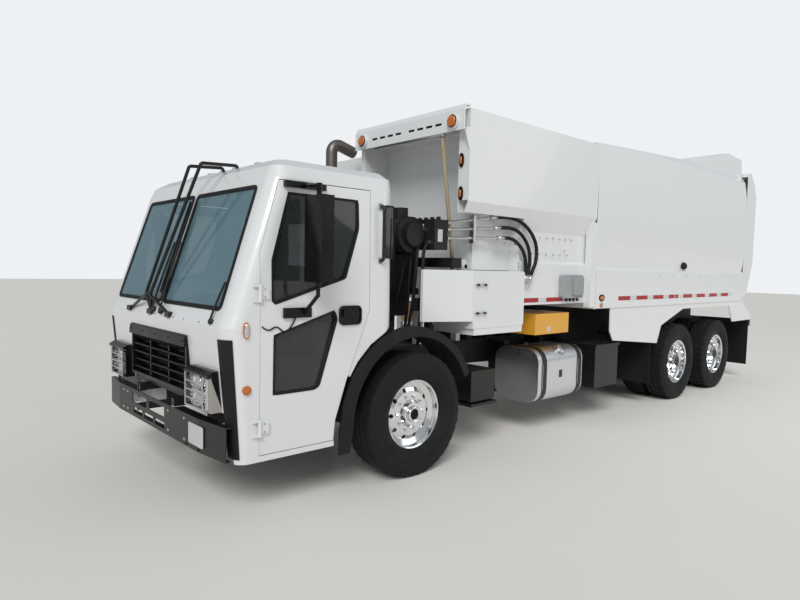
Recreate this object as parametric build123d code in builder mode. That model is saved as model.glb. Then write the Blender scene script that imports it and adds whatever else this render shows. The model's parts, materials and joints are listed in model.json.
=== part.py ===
"""Three-axle automated side-loading garbage truck with a low tilting cab.

Millimetres. X points to the vehicle's left, Y to its rear and Z up. While it
is built, Y is counted from the front axle and Z from the ground. At the end
every piece is moved along Y, so that the origin lies under the middle of the
vehicle's length.
"""
from build123d import *
import os
from math import cos, radians, sin

# Stations along Y, from the front axle
FRONT_END = -1750
REAR_END = 7870
REAR_AXLE = 5063
TANDEM_SPACING = 1343
HOPPER_FRONT = 580
BODY_FRONT = 2750
BODY_REAR = 7340
ARM_STATION = 2127

# Wheels and tyres
TYRE_RADIUS = 525
FRONT_TYRE_WIDTH = 315
DUAL_TYRE_WIDTH = 270
DUAL_SPACING = 335
RIM_RADIUS = 298
RIM_BEAD = 286
RIM_PLANE = 1198
RIM_WIDTH = 229
RIM_LIP = 12
HUB_BORE = 45
BOLT_CIRCLE = 142
AXLE_Z = TYRE_RADIUS
AXLE_TUBE = 62
PINION_NOSE = 330
PINION_RISE = 50
GEARBOX_END = 900

# Chassis frame
RAIL_OUTER = 432
RAIL_FLANGE = 90
RAIL_TOP = 980
RAIL_DEPTH = 260
RAIL_WALL = 10
RAIL_FRONT = -1480
RAIL_REAR = 7560

# Steering
KINGPIN_X = 925
KINGPIN_RADIUS = 24
RUN_GAP = 0.3
MOVE_GAP = 6

# Cab
CAB_HALF = 1200
CAB_WALL = 45
CAB_REAR = -235
CAB_CORNER = 125
CAB_BOTTOM = 405
FLOOR_Z = 1050
FLOOR_THICK = 40
HUMP_HALF = 360
HUMP_TOP = 1360
WELL_X = 800
WELL_Y = (-1440, -850)
GLASS = 6
TILT_Y = -1690
TILT_Z = 705
TILT_PIN = 22
CAB_REST_Y = (-215, -150)
CAB_REST_Z = 1295
DOOR_HINGE_X = 1214
DOOR_HINGE_Y = -1460
DOOR_HINGE_LEVELS = (645, 1562)
HANDLE_Y = -698
HANDLE_Z = 1386
ARCH_INNER = 655
ARCH_OUTER = 775
ARCH_REAR = 725
ARCH_LINER_X = 860

# Body
BODY_HALF = 1220
BODY_BOTTOM = 1330
BODY_WALL = 12
LEDGE_Z = 1805
HOPPER_ROOF = 3155
HOPPER_CURB_SILL = 1800
VISOR_FAR_X = -300
HOPPER_WALL_Y = 900
SUMP_FRONT = 1455
SUMP_BOTTOM = 1400
SHELF_Z = 1757
TAIL_PIVOT_Y = 7410
TAIL_PIVOT_Z = 3430
TAIL_PIN = 25
TAIL_LEVER = 110
TAIL_SWING = 85
CYLINDER_X = 600
CYLINDER_FOOT = (6550, 3500)

# Lifting arm
RAIL_BOX_WIDTH = 626
RAIL_BOX_BOTTOM = 1075
RAIL_BOX_TOP = 1295
RAIL_BOX_END = 1100
RAIL_BOX_MOUTH = -975
LIFT_X = -1120
LIFT_Z = 1500
LIFT_PIN = 32
CLAW_PIN = 20

os.makedirs("parts", exist_ok=True)
PIECES = []


def keep(name, part):
    """Move a finished piece from axle stations to the model's frame and note it."""
    middle = (FRONT_END + REAR_END) / 2
    placed = Pos(0, -middle, 0) * part
    placed.label = name
    PIECES.append(placed)
    export_step(placed, f"parts/{name}.step")


def block(x, y, z, mode=Mode.ADD):
    """A box between pairs of limits."""
    with Locations(((x[0] + x[1]) / 2, (y[0] + y[1]) / 2, (z[0] + z[1]) / 2)):
        Box(x[1] - x[0], y[1] - y[0], z[1] - z[0], mode=mode)


def outline(plane, points, amount, mode=Mode.ADD):
    """A straight-sided outline drawn on a plane and pushed out along its normal."""
    with BuildSketch(plane) as flat:
        with BuildLine():
            Polyline(*points, close=True)
        make_face()
    extrude(flat.sketch, amount=amount, mode=mode)


def side_form(points, x, mode=Mode.ADD):
    """An outline of (y, z) points between two X limits."""
    outline(Plane.YZ.offset(x[0]), points, x[1] - x[0], mode)


def cross_form(points, y, mode=Mode.ADD):
    """An outline of (x, z) points between two Y limits."""
    outline(Plane.XZ.offset(-y[1]), points, y[1] - y[0], mode)


def plan_form(points, z, mode=Mode.ADD):
    """An outline of (x, y) points between two Z limits."""
    outline(Plane.XY.offset(z[0]), points, z[1] - z[0], mode)


def rod(start, end, radius, mode=Mode.ADD):
    """A round bar from one point to another."""
    run = Vector(*end) - Vector(*start)
    with BuildSketch(Plane(origin=start, z_dir=run)) as flat:
        Circle(radius)
    extrude(flat.sketch, amount=run.length, mode=mode)


def ring(start, end, outer, inner):
    """A round tube from one point to another."""
    rod(start, end, outer)
    rod(start, end, inner, Mode.SUBTRACT)


def bent_tube(points, bend, radius):
    """A round tube along straight runs joined by arcs."""
    with BuildLine() as route:
        FilletPolyline(*points, radius=bend)
    first = route.line @ 0
    heading = route.line % 0
    with BuildSketch(Plane(origin=first, z_dir=heading)) as flat:
        Circle(radius)
    sweep(flat.sketch, path=route.line)


def mirrored(part):
    """The same piece on the other side of the vehicle."""
    return mirror(part, about=Plane.YZ)


def arch_point(radius, angle):
    """A point (y, z) on a circle round the front axle, angle from the rear."""
    return (radius * cos(radians(angle)), AXLE_Z + radius * sin(radians(angle)))


# Chassis frame, with its cross members and brackets
def frame_rails():
    rail_web = RAIL_OUTER - RAIL_WALL
    cross_stations = (-1380, 1250, 1560, 2900, 3900, 5735, 7480)
    rest_top = CAB_REST_Z - RUN_GAP
    with BuildPart() as frame:
        for side in (1, -1):
            webs = sorted((side * rail_web, side * RAIL_OUTER))
            block(webs, (RAIL_FRONT, RAIL_REAR), (RAIL_TOP - RAIL_DEPTH, RAIL_TOP))
            flanges = sorted((side * (RAIL_OUTER - RAIL_FLANGE), side * RAIL_OUTER))
            for low in (RAIL_TOP - RAIL_DEPTH, RAIL_TOP - RAIL_WALL):
                block(flanges, (RAIL_FRONT, RAIL_REAR), (low, low + RAIL_WALL))
        for y in cross_stations:
            block((-rail_web, rail_web), (y - 45, y + 45), (RAIL_TOP - 200, RAIL_TOP - 80))
        # Pads that carry the body and the arm's box
        for y in (ARM_STATION - 230, ARM_STATION + 230):
            for x in (-RAIL_OUTER + 45, RAIL_OUTER - 45):
                block((x - 45, x + 45), (y - 60, y + 60), (RAIL_TOP, RAIL_BOX_BOTTOM))
        # Sub-frame beams under the body
        for x in (-RAIL_OUTER + 40, RAIL_OUTER - 40):
            block((x - 40, x + 40), (BODY_FRONT + 20, BODY_REAR - 20), (RAIL_TOP, BODY_BOTTOM))
            block((x - 40, x + 40), (1500, 1600), (RAIL_TOP, SUMP_BOTTOM))
            foot = (HOPPER_WALL_Y + 20, HOPPER_WALL_Y + 100)
            block((x - 40, x + 40), foot, (RAIL_TOP, SHELF_Z - BODY_WALL))
        # Front brackets that carry the cab's tilt pins over the bumper
        for side in (1, -1):
            x = sorted((side * (RAIL_OUTER - 60), side * (RAIL_OUTER - 35)))
            side_form(
                [
                    (RAIL_FRONT + 120, TILT_Z - 15),
                    (RAIL_FRONT + 120, TILT_Z + 95),
                    (RAIL_FRONT - 60, TILT_Z + 95),
                    (RAIL_FRONT - 105, TILT_Z + 33),
                    (TILT_Y - 28, TILT_Z + 33),
                    (TILT_Y - 28, TILT_Z - 25),
                    (RAIL_FRONT - 20, TILT_Z - 25),
                ],
                x,
            )
            rod(
                (side * (RAIL_OUTER - 60), TILT_Y, TILT_Z),
                (side * (RAIL_OUTER - 100), TILT_Y, TILT_Z),
                TILT_PIN,
            )
            # Rear cab rest: posts and a beam behind the cab
            posts = sorted((side * (RAIL_OUTER - 80), side * RAIL_OUTER))
            block(posts, CAB_REST_Y, (RAIL_TOP, rest_top - 20))
        block((-620, 620), CAB_REST_Y, (rest_top - 55, rest_top))
    return frame.part


# Front bumper: a folded plate with cut-outs and brackets to the frame
def front_bumper():
    top = 673
    bottom = 436
    face = -1722
    wing_x = 830
    end_x = 1170
    end_y = -1688
    plate = 8
    depth = 82
    outer = [(-end_x, end_y), (-wing_x, face), (wing_x, face), (end_x, end_y)]
    inner = [(x, y + plate) for x, y in reversed(outer)]
    with BuildPart() as bumper:
        plan_form(outer + inner, (bottom, top))
        end_depth = 38
        back = [
            (end_x, end_y + end_depth),
            (wing_x, face + depth),
            (-wing_x, face + depth),
            (-end_x, end_y + end_depth),
        ]
        for z in (bottom, top - plate):
            plan_form(outer + back, (z, z + plate))
        # Room for the tilting cab's front tube
        block((-380, 380), (face + plate, face + depth + 1), (top - plate - 1, top + 1), Mode.SUBTRACT)
        # Tow openings above and three slots below
        for low, high in ((-500, -175), (-120, 205)):
            block((low, high), (face - 20, face + 30), (560, 640), Mode.SUBTRACT)
        for low, high in ((-470, -270), (-230, -30), (10, 210)):
            block((low, high), (face - 20, face + 30), (470, 520), Mode.SUBTRACT)
        for side in (1, -1):
            x = sorted((side * (RAIL_OUTER - 34), side * (RAIL_OUTER - 10)))
            block(x, (face + plate, RAIL_FRONT + 160), (500, 560))
            block(x, (RAIL_FRONT + 20, RAIL_FRONT + 160), (500, RAIL_TOP - RAIL_DEPTH))
    return bumper.part


# Front axle: dropped I-beam, leaf packs, hangers
def front_axle():
    spring_x = 430
    beam_z = AXLE_Z - 60
    leaf_width = 90
    beam_half = 36
    with BuildPart() as axle:
        cross_form(
            [
                (-KINGPIN_X - 42, AXLE_Z + 62),
                (-KINGPIN_X + 48, AXLE_Z + 62),
                (-KINGPIN_X + 130, beam_z + 30),
                (-330, beam_z - 30),
                (330, beam_z - 30),
                (KINGPIN_X - 130, beam_z + 30),
                (KINGPIN_X - 48, AXLE_Z + 62),
                (KINGPIN_X + 42, AXLE_Z + 62),
                (KINGPIN_X + 42, AXLE_Z - 62),
                (KINGPIN_X - 60, AXLE_Z - 62),
                (330, beam_z - 120),
                (-330, beam_z - 120),
                (-KINGPIN_X + 60, AXLE_Z - 62),
                (-KINGPIN_X - 42, AXLE_Z - 62),
            ],
            (-beam_half, beam_half),
        )
        for side in (1, -1):
            rod(
                (side * KINGPIN_X, 0, AXLE_Z - 63),
                (side * KINGPIN_X, 0, AXLE_Z + 63),
                KINGPIN_RADIUS + RUN_GAP,
                Mode.SUBTRACT,
            )
            x = (side * spring_x - leaf_width / 2, side * spring_x + leaf_width / 2)
            for level, half in enumerate((260, 420, 580, 700)):
                low = beam_z + 18 + 18 * level
                block(x, (-half, half), (low, low + 18))
            block(x, (-90, 90), (beam_z - 125, beam_z + 20))
            for y in (-700, 700):
                block(x, (y - 40, y + 40), (beam_z + 90, RAIL_TOP - RAIL_DEPTH))
    return axle.part


# Steering knuckle: fork round the beam's end, spindle and tie rod arm
def knuckle():
    fork_half = 45
    plate = (KINGPIN_X + 63, KINGPIN_X + 92)
    with BuildPart() as piece:
        for z in ((AXLE_Z + 64, AXLE_Z + 112), (AXLE_Z - 112, AXLE_Z - 64)):
            block((KINGPIN_X - 45, plate[0] + 10), (-fork_half, fork_half), z)
        block(
            plate,
            (-fork_half - 20, fork_half + 20),
            (AXLE_Z - 112, AXLE_Z + 112),
        )
        rod((KINGPIN_X, 0, AXLE_Z - 112), (KINGPIN_X, 0, AXLE_Z + 112), KINGPIN_RADIUS)
        rod((KINGPIN_X + 80, 0, AXLE_Z), (RIM_PLANE - 30, 0, AXLE_Z), HUB_BORE - RUN_GAP)
        side_form(
            [(20, AXLE_Z - 100), (230, AXLE_Z - 100), (230, AXLE_Z - 72), (20, AXLE_Z - 72)],
            (KINGPIN_X - 45, KINGPIN_X + 5),
        )
    return piece.part


def tyre(width):
    """A tyre lying round the X axis, its middle plane at x = 0."""
    half = width / 2
    bead = RIM_WIDTH / 2 - RIM_LIP - 8
    with BuildPart() as piece:
        with BuildSketch(Plane.XY):
            with BuildLine():
                Polyline(
                    (-bead, RIM_BEAD),
                    (-bead - 5, RIM_RADIUS + 4),
                    (-half * 0.92, RIM_BEAD + 45),
                    (-half, RIM_BEAD + 110),
                    (-half * 0.97, TYRE_RADIUS - 55),
                    (-half * 0.86, TYRE_RADIUS - 10),
                    (-half * 0.70, TYRE_RADIUS),
                    (half * 0.70, TYRE_RADIUS),
                    (half * 0.86, TYRE_RADIUS - 10),
                    (half * 0.97, TYRE_RADIUS - 55),
                    (half, RIM_BEAD + 110),
                    (half * 0.92, RIM_BEAD + 45),
                    (bead + 5, RIM_RADIUS + 4),
                    (bead, RIM_BEAD),
                    close=True,
                )
            make_face()
        revolve(axis=Axis.X)
    return piece.part


def rim(dish):
    """A disc wheel round the X axis: outer flange at x = 0, disc set in by dish."""
    lip = RIM_LIP
    wall = 11
    well = RIM_BEAD - 46
    hub_radius = 118
    hub_nose = 40 if dish < 100 else 10
    barrel = RIM_BEAD - 0.3
    with BuildPart() as piece:
        with BuildSketch(Plane.XY):
            with BuildLine():
                Polyline(
                    (0, RIM_RADIUS),
                    (-lip, RIM_RADIUS),
                    (-lip - 8, barrel),
                    (-60, barrel),
                    (-78, well),
                    (-150, well),
                    (-168, barrel),
                    (-RIM_WIDTH + lip + 8, barrel),
                    (-RIM_WIDTH + lip, RIM_RADIUS),
                    (-RIM_WIDTH, RIM_RADIUS),
                    (-RIM_WIDTH + 4, barrel - wall),
                    (-172, barrel - wall),
                    (-155, well - wall),
                    (-dish - 26, well - wall),
                    (-dish - 20, 150),
                    (-dish - 20, HUB_BORE),
                    (-dish + hub_nose, HUB_BORE),
                    (-dish + hub_nose, hub_radius - 22),
                    (-dish + 4, hub_radius),
                    (-dish, 190),
                    (-dish - 12, well - wall - 8),
                    (-74, well - wall),
                    (-56, barrel - wall),
                    (-8, barrel - wall + 4),
                    close=True,
                )
            make_face()
        revolve(axis=Axis.X)
        # Hand holes
        with BuildSketch(Plane.YZ.offset(-dish - 60)) as holes:
            with PolarLocations(206, 10):
                Circle(19)
        extrude(holes.sketch, amount=75, mode=Mode.SUBTRACT)
        # Wheel nuts
        with BuildSketch(Plane.YZ.offset(-dish - 10)) as nuts:
            with PolarLocations(BOLT_CIRCLE, 10):
                RegularPolygon(17, 6)
        extrude(nuts.sketch, amount=36)
    return piece.part


def rear_rims():
    """Both rims of a twin wheel, joined at their discs, outer flange at x = 0."""
    dish = 150
    outer = rim(dish)
    inner = Pos(-DUAL_SPACING, 0, 0) * rim(60)
    with BuildPart() as pair:
        add(outer)
        add(inner)
        ring((-dish - 19, 0, 0), (-DUAL_SPACING - 59, 0, 0), 115, HUB_BORE)
    return pair.part


# Drive axles with their banjo housings and brake drums
def rear_axles():
    tube_radius = AXLE_TUBE
    bowl_radius = 215
    drum_radius = 205
    drum_inner = RIM_PLANE - DUAL_SPACING - RIM_WIDTH - 15
    with BuildPart() as axles:
        for y in (REAR_AXLE, REAR_AXLE + TANDEM_SPACING):
            rod((-drum_inner - 10, y, AXLE_Z), (drum_inner + 10, y, AXLE_Z), tube_radius)
            with BuildSketch(Plane.YZ) as bowl:
                with Locations((y, AXLE_Z)):
                    Circle(bowl_radius)
            extrude(bowl.sketch, amount=95, taper=22)
            extrude(bowl.sketch, amount=-95, taper=22)
            rod((0, y - PINION_NOSE, AXLE_Z + PINION_RISE), (0, y, AXLE_Z + PINION_RISE), 70)
            rod((0, y, AXLE_Z + PINION_RISE), (0, y + bowl_radius, AXLE_Z + PINION_RISE), 50)
            for side in (1, -1):
                start = side * (drum_inner - 130)
                rod((start, y, AXLE_Z), (side * drum_inner, y, AXLE_Z), drum_radius)
                end = side * (RIM_PLANE - 190)
                rod((side * drum_inner, y, AXLE_Z), (end, y, AXLE_Z), HUB_BORE - RUN_GAP)
    return axles.part


# Walking beams, their trunnion saddles and torque rods, and the prop shafts
def rear_suspension():
    beam_x = (380, 470)
    mid = REAR_AXLE + TANDEM_SPACING / 2
    second = REAR_AXLE + TANDEM_SPACING
    bottom = AXLE_Z - 150
    seat = AXLE_Z - AXLE_TUBE - RUN_GAP
    with BuildPart() as gear:
        for side in (1, -1):
            x = sorted((side * beam_x[0], side * beam_x[1]))
            side_form(
                [
                    (REAR_AXLE - 110, seat),
                    (REAR_AXLE - 110, bottom + 20),
                    (mid, bottom - 40),
                    (second + 110, bottom + 20),
                    (second + 110, seat),
                    (second - 110, seat),
                    (mid + 90, AXLE_Z + 20),
                    (mid - 90, AXLE_Z + 20),
                    (REAR_AXLE + 110, seat),
                ],
                x,
            )
            side_form(
                [
                    (mid - 130, RAIL_TOP - RAIL_DEPTH),
                    (mid - 75, AXLE_Z - 60),
                    (mid + 75, AXLE_Z - 60),
                    (mid + 130, RAIL_TOP - RAIL_DEPTH),
                ],
                x,
            )
    return gear.part


def drive_shafts():
    runs = (
        # start y, start z, end y, tube radius
        (GEARBOX_END, 720, REAR_AXLE - PINION_NOSE, 55),
        (REAR_AXLE + 215, AXLE_Z + PINION_RISE, REAR_AXLE + TANDEM_SPACING - PINION_NOSE, 42),
    )
    end_z = AXLE_Z + PINION_RISE
    flange = 60
    with BuildPart() as shafts:
        for start_y, start_z, end_y, radius in runs:
            rod((0, start_y + RUN_GAP, start_z), (0, start_y + flange, start_z), radius + 10)
            rod((0, start_y + flange - 20, start_z), (0, end_y - flange + 20, end_z), radius)
            rod((0, end_y - flange, end_z), (0, end_y - RUN_GAP, end_z), radius + 10)
    return shafts.part


# Engine, gearbox and radiator as plain blocks
def engine_block():
    with BuildPart() as engine:
        block((-330, 330), (-1100, 40), (560, 1230))
        block((-210, 210), (40, GEARBOX_END), (560, 960))
        block((-330, 330), (-1300, -1180), (580, 960))
        block((-60, 60), (-1180, -1100), (640, 800))
        for side in (1, -1):
            mount = sorted((side * 330, side * (RAIL_OUTER - RAIL_WALL)))
            block(mount, (-300, -200), (800, 900))
    return engine.part


# Fuel tank on the left, with its straps, brackets and cap
def fuel_tank():
    y0 = 1815
    y1 = 2655
    low = 345
    high = 925
    inner_x = 590
    outer_x = 1160
    edge_radius = 150
    lean = radians(45)
    with BuildPart() as tank:
        with BuildSketch(Plane.XZ.offset(-y1)) as section:
            with Locations(((inner_x + outer_x) / 2, (low + high) / 2)):
                RectangleRounded(outer_x - inner_x, high - low, edge_radius)
        extrude(section.sketch, amount=y1 - y0)
        for y in (y0 + 110, y1 - 60):
            with BuildSketch(Plane.XZ.offset(-y - 35)) as strap:
                with Locations(((inner_x + outer_x) / 2, (low + high) / 2)):
                    RectangleRounded(outer_x - inner_x + 12, high - low + 12, 156)
            extrude(strap.sketch, amount=70)
            side_form(
                [(y - 40, 380), (y + 40, 380), (y + 40, RAIL_TOP - 20), (y - 40, RAIL_TOP - 20)],
                (RAIL_OUTER, inner_x + 60),
            )
        # Filler neck on a collar, leaning out of the upper edge
        for reach, radius in ((edge_radius + 10, 68), (edge_radius + 36, 52)):
            start, end = (
                (outer_x - edge_radius + d * cos(lean), y0 + 430, high - edge_radius + d * sin(lean))
                for d in (edge_radius - 40, reach)
            )
            rod(start, end, radius)
    return tank.part


# Battery box behind the tank and the small box behind the left front wheel
def side_boxes():
    with BuildPart() as boxes:
        block((640, 1165), (2930, 3450), (390, 870))
        block((RAIL_OUTER, 640), (2980, 3400), (740, 850))
        block((640, 1180), (2915, 3465), (870, 900))
        block((700, 1110), (815, 1160), (500, 790))
        block((RAIL_OUTER, 700), (860, 1110), (740, 780))
        block((720, 1130), (800, 1180), (455, 480))
        block((760, 800), (850, 1100), (480, 500))
        block((1020, 1060), (850, 1100), (480, 500))
    return boxes.part


# Front wheel arches
def arch_outline(growth):
    """Edges of the arch's flare, all of it moved outward by a margin."""
    front_foot = 330 - growth
    outer = ARCH_OUTER + growth
    rear = ARCH_REAR + growth
    inner = ARCH_INNER
    foot_y = -outer - 14
    with BuildSketch(Plane.YZ) as flat:
        with BuildLine():
            Line((foot_y, front_foot), (foot_y, AXLE_Z))
            Line((foot_y, AXLE_Z), arch_point(outer, 175))
            ThreePointArc(
                arch_point(outer, 175),
                arch_point(outer, 138),
                arch_point(outer - 10, 104),
            )
            ThreePointArc(
                arch_point(outer - 10, 104),
                arch_point((outer + rear) / 2 - 8, 88),
                arch_point(rear, 70),
            )
            ThreePointArc(arch_point(rear, 70), arch_point(rear, 46), arch_point(rear, 23))
            Line(arch_point(rear, 23), arch_point(inner, 23))
            ThreePointArc(arch_point(inner, 23), arch_point(inner, 100), arch_point(inner, 180))
            Line(arch_point(inner, 180), (-inner - 30, front_foot))
            Line((-inner - 30, front_foot), (foot_y, front_foot))
        make_face()
    return flat.sketch


def front_fender():
    flare = 14
    shell = 10
    inner_x = 880
    outer_x = 1214
    face = arch_outline(0)
    with BuildPart() as fender:
        extrude(Pos(outer_x - flare, 0, 0) * face, amount=flare)
        with BuildSketch(Plane.YZ.offset(inner_x)) as band:
            with BuildLine():
                ThreePointArc(
                    arch_point(ARCH_INNER, 23),
                    arch_point(ARCH_INNER, 100),
                    arch_point(ARCH_INNER, 180),
                )
                Line(arch_point(ARCH_INNER, 180), arch_point(ARCH_INNER + shell, 180))
                ThreePointArc(
                    arch_point(ARCH_INNER + shell, 180),
                    arch_point(ARCH_INNER + shell, 100),
                    arch_point(ARCH_INNER + shell, 23),
                )
                Line(arch_point(ARCH_INNER + shell, 23), arch_point(ARCH_INNER, 23))
            make_face()
        extrude(band.sketch, amount=outer_x - inner_x)
        # Bracket from the frame to the rear of the arch
        block((RAIL_OUTER, inner_x + 40), (578, 640), (800, 850))
    return fender.part


# White skirts over the rear wheels
def rear_fender():
    front = 3150
    wheel_clear = 60
    plate_x = 640
    plate_top = 1281
    arch_front = REAR_AXLE - TYRE_RADIUS - wheel_clear
    arch_rear = REAR_AXLE + TANDEM_SPACING + TYRE_RADIUS + wheel_clear
    with BuildPart() as skirt:
        side_form(
            [
                (front, BODY_BOTTOM),
                (front + 10, 1050),
                (front + 90, 940),
                (4390, 830),
                (arch_front + 20, 1060),
                (REAR_AXLE + 90, 1262),
                (arch_rear - 140, 1262),
                (arch_rear + 20, 1000),
                (REAR_END - 30, 1000),
                (REAR_END - 30, 1060),
                (BODY_REAR + 60, BODY_BOTTOM),
            ],
            (1196, 1208),
        )
        # Splash plate over the tyres, on two brackets from the frame
        side_form(
            [
                (4398, 846),
                (arch_front + 26, 1069),
                (REAR_AXLE + 92, 1269),
                (arch_rear - 150, 1269),
                (arch_rear - 150, plate_top),
                (REAR_AXLE + 88, plate_top),
                (arch_front + 14, 1080),
                (4385, 850),
            ],
            (plate_x, 1200),
        )
        for y in (REAR_AXLE + 120, arch_rear - 250):
            block((RAIL_OUTER, plate_x), (y, y + 60), (plate_top - 52, plate_top))
    return skirt.part


def mud_flaps():
    thick = 8
    with BuildPart() as flaps:
        for side in (1, -1):
            x = sorted((side * 650, side * 1190))
            block(x, (4250, 4250 + thick), (300, 930))
            block(x, (REAR_END - 60, REAR_END - 60 + thick), (235, 895))
            arm = sorted((side * RAIL_OUTER, side * 1180))
            block(arm, (4250 + thick, 4300), (880, 930))
    return flaps.part


def rear_bumper():
    low = 895
    high = 1000
    with BuildPart() as beam:
        block((-1195, 1195), (REAR_END - 70, REAR_END), (low, high))
        for side in (1, -1):
            x = sorted((side * (RAIL_OUTER - 90), side * RAIL_OUTER))
            block(x, (RAIL_REAR, REAR_END - 70), (low, high))
            lamps = sorted((side * 760, side * 1110))
            block(lamps, (REAR_END - 20, REAR_END + 10), (low + 20, high - 20), Mode.SUBTRACT)
        block((-700, 700), (RAIL_REAR + 40, RAIL_REAR + 130), (430, 530))
        for side in (1, -1):
            x = sorted((side * 340, side * 400))
            block(x, (RAIL_REAR + 40, RAIL_REAR + 130), (530, low))
    return beam.part


# Toolbox behind the cab, with its angled front face
TOOLBOX_X = (690, 1210)
TOOLBOX_Y = (700, 1440)
TOOLBOX_Z = (1207, 1740)
TOOLBOX_SHEET = 5
TOOLBOX_LATCHES = (1352, 1610)
TOOLBOX_KNUCKLE = 60
TOOLBOX_HINGE = (TOOLBOX_X[1] - 1, TOOLBOX_Y[1] + 6)


def toolbox():
    wall = TOOLBOX_SHEET
    low, high = TOOLBOX_Z
    y0, y1 = TOOLBOX_Y
    x0, x1 = TOOLBOX_X
    face = x1 - wall - RUN_GAP
    with BuildPart() as box:
        block((x0, face), (y0, y1), (low, high))
        block((x0 + wall, x1), (y0 + wall, y1 - wall), (low + wall, high - wall), Mode.SUBTRACT)
        # Front half: a closed wedge that narrows towards the cab
        plan_form([(x0, y0), (face, y0), (1010, 250), (980, 250)], (low + 70, high))
        # Tray under the box
        block((x0, face), (y0 + 20, y1), (low - 60, low))
        # Hinge knuckles behind the door
        for z in ((low + 10, low + TOOLBOX_KNUCKLE), (high - TOOLBOX_KNUCKLE, high - 10)):
            rod((*TOOLBOX_HINGE, z[0]), (*TOOLBOX_HINGE, z[1] - RUN_GAP), 5)
            block((face - 20, x1 - 2), (y1, y1 + 4), (z[0], z[1] - RUN_GAP))
        # Bearers to the frame
        for y in (760, 1330):
            block((RAIL_OUTER - 80, x0), (y, y + 60), (1250, 1310))
            block((RAIL_OUTER - 80, RAIL_OUTER), (y, y + 60), (RAIL_TOP, 1250))
            block((x0 - 30, x0), (y, y + 60), (1250, 1600))
    return box.part


def toolbox_door():
    low, high = TOOLBOX_Z
    y0, y1 = TOOLBOX_Y
    x1 = TOOLBOX_X[1]
    knuckle_low = low + TOOLBOX_KNUCKLE
    knuckle_high = high - TOOLBOX_KNUCKLE - RUN_GAP
    with BuildPart() as door:
        block((x1 - TOOLBOX_SHEET, x1), (y0 + 2, y1 - 2), (low + 3, high - 3))
        block((x1 - TOOLBOX_SHEET, x1), (y1 - 3, y1 + 3), (knuckle_low, knuckle_high))
        rod((*TOOLBOX_HINGE, knuckle_low), (*TOOLBOX_HINGE, knuckle_high), 5)
        # Two T-handle latches on their cups
        for z in (TOOLBOX_LATCHES[0], TOOLBOX_LATCHES[1]):
            with BuildSketch(Plane.YZ.offset(x1)) as cup:
                with Locations((y0 + 62, z)):
                    RectangleRounded(84, 56, 12)
            extrude(cup.sketch, amount=4)
            rod((x1 + 4, y0 + 62, z), (x1 + 16, y0 + 62, z), 8)
            block((x1 + 12, x1 + 20), (y0 + 8, y0 + 176), (z - 6, z + 6))
    return door.part


# Black machinery behind the cab
PIPE_START = (985, 560)
BANK_TOP = 2190
CRADLE_TOP = 1310


def power_pack():
    """Air cleaner over an oil tank, a valve bank, return filters and an oil cooler."""
    cleaner = (245, 2045)
    cleaner_radius = 160
    bank_x = (440, 1000)
    bank_y = (390, PIPE_START[1])
    sections = 7
    fins = 12
    with BuildPart() as pack:
        block((-RAIL_OUTER, RAIL_OUTER), (60, 440), (RAIL_TOP, CRADLE_TOP))
        # Oil tank with rounded edges, its filler and the straps of the cradle
        with BuildSketch(Plane.XY.offset(CRADLE_TOP - 2)) as tank:
            with Locations((440, 250)):
                RectangleRounded(480, 340, 60)
        extrude(tank.sketch, amount=560)
        rod((250, 130, 1865), (250, 130, 1890), 40)
        for x in (330, 560):
            block((x - 25, x + 25), (74, 426), (CRADLE_TOP - 5, 1874))
        # Air cleaner lying across on two saddles, with bands and an inlet
        rod((240, *cleaner), (860, *cleaner), cleaner_radius)
        for x in (300, 540, 800):
            rod((x - 16, *cleaner), (x + 16, *cleaner), cleaner_radius + 5)
        for x in (330, 560):
            block((x - 22, x + 22), (180, 310), (1860, 1906))
        rod((860, *cleaner), (905, *cleaner), 105)
        rod((700, cleaner[0], cleaner[1]), (700, cleaner[0], 2290), 70)
        # Valve bank in sections, with spool caps on top
        block(bank_x, bank_y, (1920, BANK_TOP - 40))
        pitch = (bank_x[1] - bank_x[0]) / sections
        for n in range(sections):
            x = bank_x[0] + pitch * (n + 0.5)
            middle = (bank_y[0] + bank_y[1]) / 2
            block((x - pitch / 2 + 4, x + pitch / 2 - 4), bank_y, (BANK_TOP - 41, BANK_TOP))
            rod((x, middle, BANK_TOP - 1), (x, middle, BANK_TOP + 26), 20)
        block((440, 500), (420, 560), (CRADLE_TOP, 1920))
        block((500, 680), (440, 520), (1500, 1560))
        # Return filters below the bank
        for x in (556, 632):
            rod((x, 480, 1560), (x, 480, 1800), 36)
            rod((x, 480, 1800), (x, 480, 1920), 30)
            rod((x, 480, 1540), (x, 480, 1560), 40)
        # Manifold beside the toolbox
        block((640, 1060), (PIPE_START[1], 690), (1760, 1850))
        block((640, 760), (500, PIPE_START[1]), (1760, 1850))
        # Finned oil cooler on the right
        block((-480, 150), (90, 440), (CRADLE_TOP - 5, 1750))
        step = 440 / fins
        for n in range(fins):
            z = CRADLE_TOP + step * (n + 0.3)
            block((-440, 110), (439, 470), (z, z + step * 0.5))
    return pack.part


# Three steel oil pipes beside the hopper's front, which end in black hoses
PIPE_END_X = 1120
HOSE_X = 1192
HOSE_FOOT = 1660
PIPE_RUNS = (
    # z at the front, z at the rear, y at the rear, y of the hose's bend, y of its foot
    (2172, 2236, 1029, 1620, 1560),
    (2107, 2142, 1087, 1550, 1515),
    (2027, 2052, 1145, 1485, 1485),
)


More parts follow.
